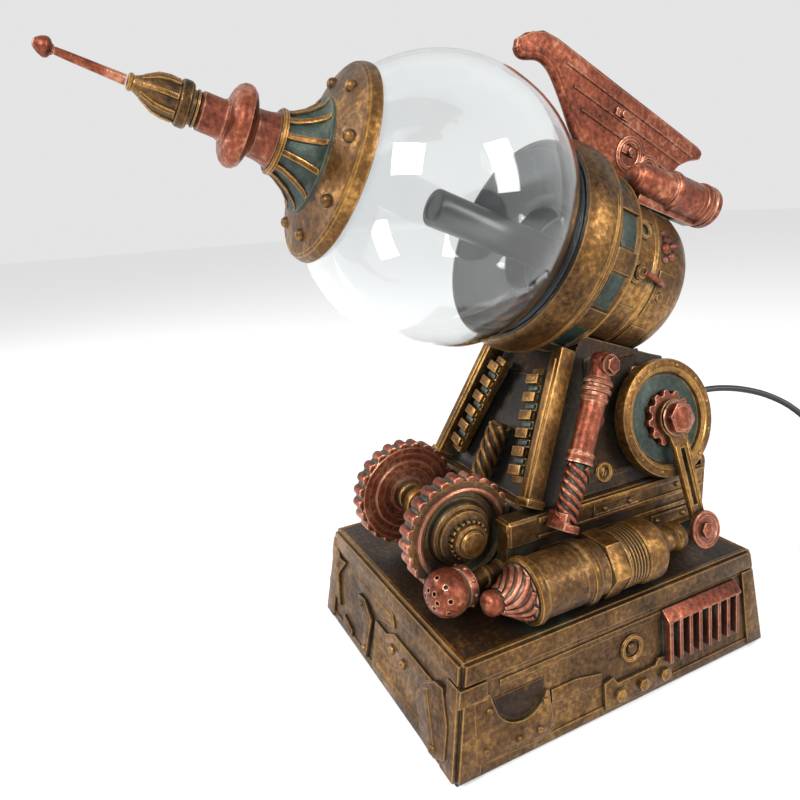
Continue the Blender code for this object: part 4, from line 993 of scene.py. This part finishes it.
def feed_line():
    foot, centre = Vector((39.6, -45.5, 71.0)), Vector((45.6, -78.5, 73.0))
    along = aim(foot, centre)
    middle = (centre - foot).length
    pipe = [
        (0, middle - 11.6), (4.4, middle - 11.6), (4.4, middle - 13.4), (4.2, middle - 14.0), (4.2, 12.5), (5.0, 12.0),
        (5.0, 9.6), (4.2, 9.0), (4.2, 3.0), (5.4, 2.4), (5.4, 0.6), (0, 0.6),
    ]
    dress(spun("feed_tube", pipe, along, 36, smooth=28), GOLD, "stand", ["feed_pipe"])
    knob = [
        (0, 9.6), (2.0, 9.5), (4.6, 8.9), (7.4, 7.5), (9.2, 5.6), (10.2, 3.6), (10.7, 1.4), (10.8, -0.8), (10.4, -3.0),
        (9.6, -4.6), (8.7, -5.2), (8.4, -5.9), (9.2, -6.4), (9.5, -7.4), (9.5, -10.4), (8.8, -11.2), (0, -11.2),
    ]
    at_knob = along @ move(0, 0, middle)
    body = spun("valve_knob", knob, at_knob, 64, smooth=35)
    hole = spun("hole", [(0, 2.2), (1.1, 2.2), (0.9, -2.2), (0, -2.2)], ORIGIN, 12)
    spots = []
    for count, angle, reach, start in ((6, 24, 9.9, 0), (9, 58, 10.4, 12)):
        tilt = math.radians(angle)
        for turn in around(count, start):
            spots.append(at_knob @ turn @ move(reach * math.sin(tilt), 0, reach * math.cos(tilt)) @ about("Y", tilt))
    carve(body, copies(hole, spots, "holes"))
    dress(body, COPPER, "stand", ["feed_knob"])
    bump = stud("knob_stud", 1.1, 0.9, ORIGIN, 12)
    spots = [at_knob @ turn @ move(9.4, 0, -8.8) @ about("Y", math.pi / 2) for turn in around(9)]
    dress(copies(bump, spots, "knob_studs"), COPPER)


# ---------------------------------------------------------------- tower
def mirrored(point, side):
    return Vector((point[0] * side, point[1], point[2]))


def tower():
    repaint(DARK_BRONZE, "tower_body")
    rise = Vector((0, 38, 75.7)).normalized()
    front = place((0, -25, 96.3), Matrix((Vector((1, 0, 0)), rise, Vector((1, 0, 0)).cross(rise))).transposed())
    # Near-black panel between the beams: painted shade of the deep gap there
    shade = slab(
        "tower_front", [(-38.5, 1), (38.5, 1), (26.5, 60), (-26.5, 60)], -0.6, 0.6, front, bevel=0.4, panel=(2.0, 0.4),
    )
    dress(shade, PAINTED_SHADE_BLACK)
    pitch = 9.0
    for side, word in ((1, "right"), (-1, "left")):
        start, end = mirrored((41.5, -32.0, 96.3), side), mirrored((26.5, 1.5, 167.0), side)
        length = (end - start).length
        along = aim(start, end)
        beam = slab(f"beam_{word}", rectangle(-3.5, -4.5, 3.5, 4.5), 3.2, length, along, bevel=0.8)
        strip = slab("beam_strip", rectangle(-1.6, -5.3, 1.6, -4.2), 6.0, length - 6, along, bevel=0.4)
        foot = slab("beam_foot", rectangle(-4.6, -5.4, 4.6, 5.4), 3.2, 7.2, along, bevel=0.7)
        whole = joined([beam, strip, foot], f"tower_beam_{word}")
        dress(whole, GOLD, "stand", [f"front_beam_{word}"])
        start, end = mirrored((28.0, -27.3, 106.0), side), mirrored((15.5, -4.0, 156.0), side)
        length = (end - start).length
        count = int(length // pitch)
        stand = aim(start, end) @ about("Y", math.pi / 2) @ about("Z", math.pi / 2)
        back = slab("rack_back", [(3.4, 0.0), (3.4, length), (-1.0, length), (-1.0, 0.0)], -3.9, 3.9, stand, bevel=0.5)
        blocks, lows = [], []
        for tooth in range(count):
            middle = pitch * (tooth + 0.5) + (length - count * pitch) / 2
            box = [(-0.6, middle + 2.7), (-4.2, middle + 2.3), (-4.2, middle - 2.3), (-0.6, middle - 2.7)]
            blocks.append(slab("rack_tooth", box, -4.1, 4.1, stand, bevel=0.5, panel=(1.1, 0.4)))
            if tooth:
                low = [(-0.6, middle - 3.2), (-2.2, middle - 3.4), (-2.2, middle - 5.6), (-0.6, middle - 5.8)]
                lows.append(slab("rack_gap", low, -3.2, 3.2, stand, bevel=0.3))
        whole = joined([back] + blocks, f"rack_{word}")
        dress(whole, GOLD, "stand", [f"climbing_rack_{word}"])
        dress(joined(lows, f"rack_gaps_{word}"), VERDIGRIS)
    start, end = Vector((0, -31.2, 99.4)), Vector((0, -17.4, 127.0))
    length = (end - start).length
    along = aim(start, end)
    core = spun(
        "spring_core", [(0, length), (4.0, length), (4.6, length - 1), (4.2, length - 2), (4.2, 1), (3, 0), (0, 0)],
        along, 28,
    )
    coils = twist("spring_coils", 4.5, 1.35, 1.2, length - 1.6, 5, 0.9, along)
    dress(coils, GOLD, "stand", ["centre_spring"])
    dress(core, DARK_BRONZE)
    lean = math.atan2(17, 75.7)
    for side, word in ((1, "right"), (-1, "left")):
        out = Vector((math.cos(lean) * side, 0, math.sin(lean)))
        across = Vector((0, side, 0))
        rise = out.cross(across)
        turn = Matrix((across, rise, out)).transposed()
        screw = place((39.05 * side, 15.9, 105.0), turn)
        ring = [(3.2, 0.9), (3.9, 1.4), (4.7, 1.4), (5.3, 0.7), (5.3, -0.5), (3.2, -0.5)]
        collar = spun("screw_ring", ring, screw, 32, loop=True)
        head = spun("screw_head", [(0, 1.2), (2.0, 1.0), (2.8, 0.4), (2.9, -0.5), (0, -0.5)], screw, 24, smooth=50)
        carve(head, slab("screw_slot", rectangle(-4, -0.45, 4, 0.45), 0.4, 3, screw @ about("Z", 1.2), bevel=0.0))
        dress(joined([collar, head], f"side_screw_{word}"), GOLD)
        panel = slab(
            f"side_panel_{word}", [(side * -8, -6), (side * 42, -6), (side * 34, 54), (side * -1, 54)][::side], -0.6,
            0.8, screw @ move(side * -2, 3, 0), bevel=0.4, panel=(3.0, 0.6),
        )
        dress(panel, DARK_BRONZE)
        bolt = hex_bolt("saddle_bolt", 3.4, 2.6)
        spots = [place((29.0 * side, y, 149.4), turn) for y in (42.8, 53.8)]
        spots.append(place((33.2 * side, 16, 130.5), turn))
        dress(copies(bolt, spots, f"saddle_bolts_{word}"), COPPER)
        rib = slab(
            f"saddle_rib_{word}", [(side * 22, 40), (side * 46, 40), (side * 46, 43), (side * 22, 43)][::side], -0.6,
            1.6, screw @ move(side * -2, 0, 0), bevel=0.5,
        )
        dress(rib, GOLD)


def shock(side, word):
    head, foot = mirrored((38.5, 14.5, 160.0), side), mirrored((53.2, -21.5, 89.5), side)
    along = aim(head, foot)
    length = (foot - head).length
    end = 0.60 * length
    body = [
        (0, end), (6.6, end), (6.6, end - 0.8), (6.3, end - 1.2), (6.3, end - 3.8), (6.6, end - 4.2), (6.5, end - 5),
        (5.6, end - 5.4), (5.6, 18.8), (6.2, 18.4), (6.5, 17.4), (6.2, 16.4), (5.7, 16.0), (5.7, 14.8), (6.8, 14.2),
        (7.0, 13.0), (6.6, 12.2), (5.8, 11.8), (5.8, 10.8), (6.8, 10.4), (7.0, 9.4), (6.6, 8.4), (5.2, 7.6), (5.0, 6),
        (5.0, 2.8), (5.8, 1.2), (6.3, -0.6), (6.0, -2.6), (4.8, -4.4), (2.8, -5.4), (0, -5.6),
    ]
    tube = spun(f"shock_body_{word}", body, along, 48, smooth=28)
    dress(tube, COPPER, "stand", [f"shock_tube_{word}"])
    outward = along @ move(0, 0, 0.6) @ about("Y", side * math.pi / 2)
    bolt = slab("ball_bolt", ring_outline(4.2, 6, 0.2), 4.4, 7.4, outward, bevel=0.6)
    collar = spun("ball_collar", [(0, 5.4), (5.0, 5.4), (5.4, 4.6), (5.2, 2), (0, 2)], outward, 28)
    dress(joined([bolt, collar], f"ball_bolt_{word}"), COPPER)
    coils = twist(f"shock_coils_{word}", 4.5, 1.35, end + 1.4, length - 3.6, 4, 1.7, along)
    dress(coils, COPPER, "stand", [f"shock_spring_{word}"])
    core = [(0, length - 2), (4.0, length - 2), (4.2, end + 0.4), (0, end + 0.4)]
    dress(spun(f"shock_core_{word}", core, along, 28), VERDIGRIS)
    shoe = slab(
        "shoe", [(-6, -4.6), (6, -4.6), (6.6, 0), (6, 4.6), (-6, 4.6), (-6.6, 0)], length - 4.2, length - 0.4, along,
        bevel=0.7,
    )
    lug = slab("lug", rectangle(-5.8, 2.4, 5.8, 5.2), length - 8.4, length - 1.0, along, bevel=0.6)
    dress(joined([shoe, lug], f"shock_shoe_{word}"), COPPER)


# ---------------------------------------------------------------- pedestal
def pedestal():
    repaint(BRONZE, "pedestal")
    for side, word in ((1, "right"), (-1, "left")):
        turn = Matrix((Vector((0, side, 0)), Vector((0, 0, 1)), Vector((side, 0, 0)))).transposed()
        wall = place((45.4 * side, 0, 0), turn)

        def on_wall(name, y0, z0, y1, z1, low, high, bevel=0.4, panel=None):
            low_y, high_y = sorted((side * y0, side * y1))
            return slab(name, rectangle(low_y, z0, high_y, z1), low, high, wall, bevel=bevel, panel=panel)

        bands = [
            on_wall("top_band", -29, 92.6, 79, 95.6, -1, 1.3), on_wall("mid_band", -29, 84.6, 79, 86.6, -1, 0.9),
            on_wall("low_band", -29, 56.2, 79, 60.5, -2.4, 0.0), on_wall("waist_band", -27, 76.5, 78, 79.0, -2.4, -0.4),
        ]
        dress(joined(bands, f"pedestal_bands_{word}"), GOLD)
        plates = [
            on_wall("block", 4, 86.2, 34, 93.0, -1, 0.8, panel=(1.2, 0.4)),
            on_wall("block", 44, 62, 70, 75.5, -2.4, -0.2, panel=(1.6, 0.5)),
        ]
        plates.append(on_wall("block", 6, 64, 34, 75.5, -2.4, -0.3, panel=(1.6, 0.5)))
        dress(joined(plates, f"pedestal_plates_{word}"), BRONZE)
        rivet = stud("pedestal_rivet", 1.5, 1.2, ORIGIN, 14)
        spots = [
            (11.1, 89.4, 0.9), (27, 89.4, 0.9), (12.2, 72.5, 0.0), (26.8, 72.5, 0.0), (48, 72, 0.0), (66, 72, 0.0),
            (60, 90, 0.2), (72, 90, 0.2),
        ]
        dress(
            copies(rivet, [wall @ move(side * y, z, reach) for y, z, reach in spots], f"pedestal_rivets_{word}"), GOLD,
        )
    outline = [(-43, 56.2), (43, 56.2), (44.5, 70), (44.5, 97)]
    outline += round_points(6, 6, range(15, 91, 15), 38.5, 97)
    outline += [(-x, z) for x, z in reversed(outline[2:])]
    upright = Matrix(((1, 0, 0, 0), (0, 0, -1, 0), (0, 1, 0, 0), (0, 0, 0, 1)))
    plate = slab("end_plate", outline, 0, 3.2, place((0, 82.0, 0)) @ upright, bevel=0.8, panel=(4, 0.8))
    dress(plate, BRONZE)
    corner = stud("corner_rivet", 2.0, 1.5, ORIGIN, 16)
    flip = about("Z", math.pi) @ upright
    spots = [place((x, 82.0, z)) @ flip for x in (-38, 38) for z in (62, 96)]
    dress(copies(corner, spots, "end_plate_rivets"), GOLD)
    front = []
    for x0, x1 in ((-19.5, 19.5), (35.5, 44.4), (-44.4, -35.5)):
        front.append(
            slab("front_band", rectangle(x0, 91.5, x1, 95.4), 0.0, 1.4, place((0, -44.4, 0)) @ upright, bevel=0.4)
        )
        front.append(
            slab("front_foot", rectangle(x0, 56.2, x1, 60.0), 0.0, 1.2, place((0, -44.6, 0)) @ upright, bevel=0.4)
        )
    dress(joined(front, "pedestal_front_bands"), GOLD)


# ---------------------------------------------------------------- base
def base_walls():
    repaint(BRONZE, "base_shell")
    walls = (
        ("right", RIGHT_WALL, HALF_DEPTH), ("left", LEFT_WALL, HALF_DEPTH), ("front", FRONT_WALL, HALF_WIDTH),
        ("back", BACK_WALL, HALF_WIDTH),
    )
    for word, wall, (foot, top) in walls:
        def edge(height):
            return foot + (top - foot) * height / 54.4

        pieces = []
        crest = [(-edge(45) + 0.6, 45), (edge(45) - 0.6, 45), (edge(53.6) - 0.8, 53.6), (-edge(53.6) + 0.8, 53.6)]
        relief = wall @ SHALLOW if word == "left" else wall
        pieces.append(slab("rim_band", crest, -0.6, 1.7, wall, bevel=0.5))
        lip = [(-edge(42.6) + 1, 42.4), (edge(42.6) - 1, 42.4), (edge(45) - 1, 45.4), (-edge(45) + 1, 45.4)]
        pieces.append(slab("rim_lip", lip, -0.6, 0.4, wall, bevel=0.4))
        for side in (-1, 1):
            outer = [edge(1.5) - 0.5, edge(44) - 0.6]
            post = [
                (side * outer[0], 1.5), (side * outer[1], 44), (side * (outer[1] - 8.5), 44),
                (side * (outer[0] - 11), 1.5),
            ]
            pieces.append(slab("corner_post", post[::side], -0.6, 1.7, relief, bevel=0.6))
        sill = [(-edge(1) + 9, 0.8), (edge(1) - 9, 0.8), (edge(5) - 9, 5.2), (-edge(5) + 9, 5.2)]
        pieces.append(slab("sill", sill, -0.6, 0.7, relief, bevel=0.4))
        dress(joined(pieces, f"{word}_wall_trim"), BRONZE)
    cover = slab("top_skin", rectangle(-69.6, -85.6, 69.6, 85.6), 54.9, 55.72, ORIGIN, bevel=0.3)
    dress(cover, DARK_BRONZE)
    edge_strip = []
    for x0, y0, x1, y1 in (
        (-70.2, -86.2, 70.2, -84.0), (-70.2, 84.0, 70.2, 86.2), (68.0, -84, 70.2, 84), (-70.2, -84, -68.0, 84),
    ):
        edge_strip.append(slab("edge", rectangle(x0, y0, x1, y1), 54.7, 55.78, ORIGIN, bevel=0.35))
    dress(joined(edge_strip, "top_edge_strips"), GOLD)


def front_wall_plates():
    arrow = [
        (-71, 50), (-60, 41), (-51.5, 42), (-58, 34), (-61, 30), (-55, 13), (-63, 17), (-68, 8), (-73, 22), (-70, 32),
        (-72, 40),
    ]
    wedge = [(-31, 34), (-22, 35), (-12, 28), (-15, 4.5), (-21, 3.5), (-20, 22), (-27, 26)]
    lower = [(-9, 3), (61, 3), (62, 18), (64, 34.5), (12, 34.5), (4, 30), (-9, 30)]
    upper = [(-48, 44), (8, 44), (12, 37), (-4, 33), (-34, 37)]
    leaf = [(39.5, 21), (46, 31), (54, 37), (61, 38), (67.5, 24), (68.5, 8), (60, 2.5), (48, 3.5)]
    pieces = [
        slab("arrow_plate", arrow, -0.6, 2.0, FRONT_WALL, bevel=0.6),
        slab("wedge_bracket", wedge, -0.6, 2.4, FRONT_WALL, bevel=0.6),
        slab("long_panel", lower, -0.6, 1.4, FRONT_WALL, bevel=0.5, panel=(4.6, 1.0)),
        slab("upper_panel", upper, -0.6, 1.0, FRONT_WALL, bevel=0.5, panel=(2.4, 0.7)),
        slab("corner_gusset", leaf, -0.6, 2.6, FRONT_WALL, bevel=0.7),
        slab("gusset_ridge", [(46, 28), (50, 30), (60, 9), (57, 7)], 2.0, 3.2, FRONT_WALL, bevel=0.4),
        slab("left_bar", [(-50, 6), (-36, 4), (-36, 8), (-49, 11)], -0.6, 1.6, FRONT_WALL, bevel=0.5),
    ]
    dress(joined(pieces, "front_plates"), BRONZE)
    rivets = [stud("plate_rivet", 2.5, 1.9, FRONT_WALL @ move(h, u, 0.6), 18) for h, u in ((10.5, 24.8), (22.7, 24.4))]
    rivets.append(stud("plate_rivet", 2.7, 2.0, FRONT_WALL @ move(59, 6.8, 2.6), 18))
    rivets += [
        stud("plate_rivet", 1.6, 1.2, FRONT_WALL @ move(h, u, w), 14)
        for h, u, w in ((-62, 36, 2.0), (-17.5, 9, 2.4), (-25, 31, 2.4), (58, 31, 1.6))
    ]
    dress(joined(rivets, "front_rivets"), GOLD)


def side_wall_plates():
    bite = round_points(14, 14.5, range(195, 346, 12), -60, 33)
    plate = [(-84, 37), (-76, 37.5)] + bite + [(-45.5, 27), (-44, 7), (-52, 4.6), (-64, 5.4), (-85.5, 6.5)]
    moon = round_points(13.4, 14, range(180, 361, 12), -60, 33.6)
    strip = [(-14.5, 3.5), (-14.5, 17.5), (-9, 19), (-6.5, 15), (18, 15), (19.5, 18), (27, 17.5), (28.5, 4), (12, 2.8)]
    bar = [(-44, 19), (-15, 17), (-15, 23), (-30, 26), (-44, 26)]
    for word, wall in (("right", RIGHT_WALL), ("left", LEFT_WALL @ SHALLOW)):
        pieces = [
            slab("riveted_plate", plate, -0.6, 1.8, wall, bevel=0.5),
            slab("bolt_strip", strip, -0.6, 2.0, wall, bevel=0.5),
            slab("worn_bar", bar, -0.6, 1.0, wall, bevel=0.5),
            slab("end_block", [(-91.5, 36), (-77, 36), (-76.5, 44), (-90, 44)], -0.6, 1.9, wall, bevel=0.6),
            slab("upper_strip", [(-70, 38.2), (70, 38.2), (70, 41.2), (-70, 41.2)], -0.6, 0.7, wall, bevel=0.4),
        ]
        dress(joined(pieces, f"{word}_plates"), BRONZE)
        dress(slab(f"{word}_crescent", moon, -0.6, 0.35, wall, bevel=0.15), DARK_BRONZE)
        rivets = [
            stud("plate_rivet", 1.9, 1.5, wall @ move(h, u, 1.8), 16)
            for h, u in ((-77, 30), (-63, 10.5), (-52, 10.5), (-80, 11.5), (-48, 23))
        ]
        ring = [(4.4, 0.8), (5.2, 1.5), (6.4, 1.5), (7.1, 0.7), (7.1, -0.5), (4.4, -0.5)]
        rivets.append(spun("ringed_stud", ring, wall @ move(4.1, 28.6, 0), 32, loop=True))
        rivets.append(stud("plate_rivet", 3.2, 2.4, wall @ move(4.1, 28.6, 0), 24))
        dress(joined(rivets, f"{word}_rivets"), GOLD)
        bolt = hex_bolt("strip_bolt", 3.3, 2.2)
        spots = [wall @ move(h, 9.3, 2.0) for h in (-6.2, 8.4, 22.3)]
        dress(copies(bolt, spots, f"{word}_bolts"), GOLD)
    fin_shape = slab("fin", rectangle(0.0, 14.8, 2.3, 36.4), 0.3, 5.2, ORIGIN, bevel=0.5)
    whole = copies(fin_shape, [RIGHT_WALL @ move(24.1 + 6.6 * i, 0, 0) for i in range(8)], "grille_fins")
    hood = slab(
        "grille_hood", [(36.2, 0.2), (36.2, 5.4), (37.2, 5.4), (42.0, 1.2), (42.0, 0.2)], 23.4, 74.0,
        RIGHT_WALL @ ACROSS, bevel=0.4,
    )
    dress(joined([whole, hood], "vent_grille"), COPPER, "stand", ["cooling_grille"])
    dress(slab("grille_floor", rectangle(23.6, 14.4, 73.4, 36.6), -0.4, 1.1, RIGHT_WALL, bevel=0.3), VERDIGRIS)


def base_underside():
    pad = slab("felt_sheet", rectangle(-74.3, -94.3, 74.3, 94.3), 0.0, 1.2, ORIGIN, bevel=0.3)
    dress(pad, FELT, "stand", ["felt_pad"])
    repaint(ABS, "base_cover")


def rocker_switch():
    lean = math.atan2(9.0, 54.0)
    turn = Matrix((
        Vector((-1, 0, 0)), Vector((0, -math.sin(lean), math.cos(lean))), Vector((0, math.cos(lean), math.sin(lean))),
    )).transposed()
    at_switch = place((-38.0, 91.417, 26.0), turn)
    flange = slab("switch_flange", rectangle(-11.6, -8.1, 11.6, 8.1), 0.3, 2.0, at_switch, bevel=0.5)
    well = slab("well_cut", rectangle(-8.0, -4.9, 8.0, 4.9), -9.5, 6.0, at_switch, bevel=0.0)
    body = slab("switch_body", rectangle(-9.9, -6.4, 9.9, 6.4), -16, 1.0, at_switch, bevel=0.3)
    whole = joined([flange, body], "switch_frame")
    carve(whole, well)
    dress(whole, ABS, "stand", ["switch_housing"])
    outline = [
        (-7.2, 2.3), (-6.6, -3.2), (0, -6.4), (6.6, -3.2), (7.2, 2.3), (5.0, 2.0), (2.4, 1.7), (0, 1.6), (-2.4, 1.7),
        (-5.0, 2.0),
    ]
    tip = at_switch @ about("Y", math.radians(10)) @ about("X", math.pi / 2)
    key = slab("rocker_key", outline, -4.3, 4.3, tip, bevel=0.4)
    dress(key, ABS, "rocker", ["switch_rocker"])
    bar = at_switch @ about("Y", math.radians(10))
    mark = slab(
        "rocker_mark", rectangle(-0.35, -1.6, 0.35, 1.6), 0.0, 0.16, bar @ move(-4.6, 0, 1.85) @ about("Y", 0.09),
        bevel=0.05,
    )
    dress(mark, NICKEL, "rocker")


def inside_parts():
    repaint(MASK, "driver_board")
    repaint(ABS, "hv_transformer", "filter_capacitor")
    repaint(SEAL, "electrode_boot")
    repaint(SHEATH, "hv_lead")


# ---------------------------------------------------------------- cord
CORD_RADIUS = 1.75
COIL_CENTRE = Vector((52.0, 222.0, 0.0))
CORD_ROUTE = [
    (16, 92, 124.0), (16.3, 100, 124.7), (18, 109, 125.6), (21.5, 119, 125.8), (27, 130, 124.4), (34.5, 141, 120.8),
    (43, 151, 114.0), (51, 160, 103.0), (58, 168, 88.0), (63.5, 175, 70.0), (67.5, 181.5, 51.0), (71, 188, 33),
    (74.5, 196, 17), (78, 205, 7.0), (80.6, 214, 2.8), (81.15, 222, 2.1),
]
# Radius of each turn, from the entry inwards, out again and in
TURN_RADII = [25.4, 21.9, 18.4, 14.9, 14.9, 18.4, 21.9, 25.4, 22.6, 20.4]
LAYERS = [1.85, 5.35, 8.85]
PLUG_HEIGHT = 15.6
# Nine full turns and most of a tenth, up to the plug
COIL_DEGREES = 9 * 360 + 351.5


def ease(share):
    share = max(0.0, min(1.0, share))
    return share * share * (3 - 2 * share)


def coil_point(degrees):
    """Point on the coil after that many degrees of winding."""
    turn = int(degrees // 360)
    part = degrees - 360 * turn
    before = TURN_RADII[turn - 1] if turn else 29.15
    radius = before + (TURN_RADII[turn] - before) * ease(part / 110)
    height = LAYERS[0] + 0.25 * (1 - ease(degrees / 50))
    for layer, at in ((1, 4 * 360), (2, 8 * 360)):
        height += (LAYERS[layer] - LAYERS[layer - 1]) * ease((degrees - at + 75) / 75)
    height += (PLUG_HEIGHT - LAYERS[2]) * ease((degrees - COIL_DEGREES + 85) / 85)
    angle = math.radians(degrees)
    return COIL_CENTRE + Vector((radius * math.cos(angle), radius * math.sin(angle), height))


def cord_line():
    count = int(COIL_DEGREES / 8)
    coil = [coil_point(COIL_DEGREES * i / count) for i in range(1, count + 1)]
    return smooth_points(CORD_ROUTE, 4) + coil


def cord():
    line = cord_line()
    curve = bpy.data.curves.new("mains_cord", "CURVE")
    curve.dimensions = "3D"
    curve.bevel_depth = CORD_RADIUS * MM
    curve.bevel_resolution = 3
    curve.use_fill_caps = True
    curve.resolution_u = 1
    curve.render_resolution_u = 1
    spline = curve.splines.new("POLY")
    spline.points.add(len(line) - 1)
    for target, point in zip(spline.points, line):
        target.co = (*(Vector(point) * MM), 1.0)
    lead = bpy.data.objects.new("mains_cord", curve)
    bpy.context.scene.collection.objects.link(lead)
    dress(lead, SHEATH, "stand", ["power_cord", "cord_coil"])
    at_plug = place((72, 219, PLUG_HEIGHT), ALONG_BACK)
    grip = [
        (0, 0.1), (2.4, 0.1), (2.7, 0.8), (2.7, 2.0), (3.3, 2.4), (3.3, 3.6), (2.9, 4.0), (3.0, 5.2), (3.6, 5.6),
        (3.6, 6.8),
        (4.2, 7.4), (4.7, 8.4), (4.7, 22.6), (4.4, 23.6), (3.6, 24.0), (0, 24.0),
    ]
    body = spun("plug_grip", grip, at_plug, 40, smooth=28)
    ridge = slab("grip_ridge", rectangle(4.3, -0.5, 4.68, 0.5), 10, 21, ORIGIN, bevel=0.15)
    ridges = copies(ridge, [at_plug @ turn for turn in around(12)], "grip_ridges")
    plug = dress(joined([body, ridges], "barrel_plug"), ABS, "stand", ["cord_plug"])
    barrel = [
        (0, 23.8), (2.75, 23.8), (2.75, 33.2), (2.5, 33.5), (1.3, 33.5), (1.2, 33.2), (1.2, 26.0), (0, 26.0),
    ]
    sleeve = dress(spun("plug_barrel", barrel, at_plug, 32), NICKEL)
    exit_frame = place((16, 0, 124), ALONG_BACK)
    relief = [
        (2.05, 91.7), (2.8, 91.7), (3.1, 91.0), (3.1, 89.6), (2.7, 89.2), (2.8, 88.4), (3.4, 88.0), (3.5, 86.6),
        (3.0, 86.1),
        (3.1, 85.2), (3.8, 84.8), (3.9, 83.4), (3.4, 82.9), (3.5, 82.0), (4.3, 81.6), (4.4, 80.2), (4.2, 79.4),
        (4.7, 77.2),
        (5.6, 76.4), (6.6, 76.0), (6.8, 75.2), (6.8, 73.4), (6.4, 72.9), (5.0, 72.8), (5.0, 61.8), (2.05, 61.8),
    ]
    gland = spun("strain_relief", relief, exit_frame, 40, loop=True, smooth=28)
    dress(gland, SEAL, "stand", ["cord_gland"])


globe()
drum()
nozzle()
fin()
scope()
gear_pair()
flywheel()
crank()
steam_cylinder()
feed_line()
tower()
shock(1, "right")
shock(-1, "left")
pedestal()
base_walls()
front_wall_plates()
side_wall_plates()
base_underside()
rocker_switch()
inside_parts()
cord()
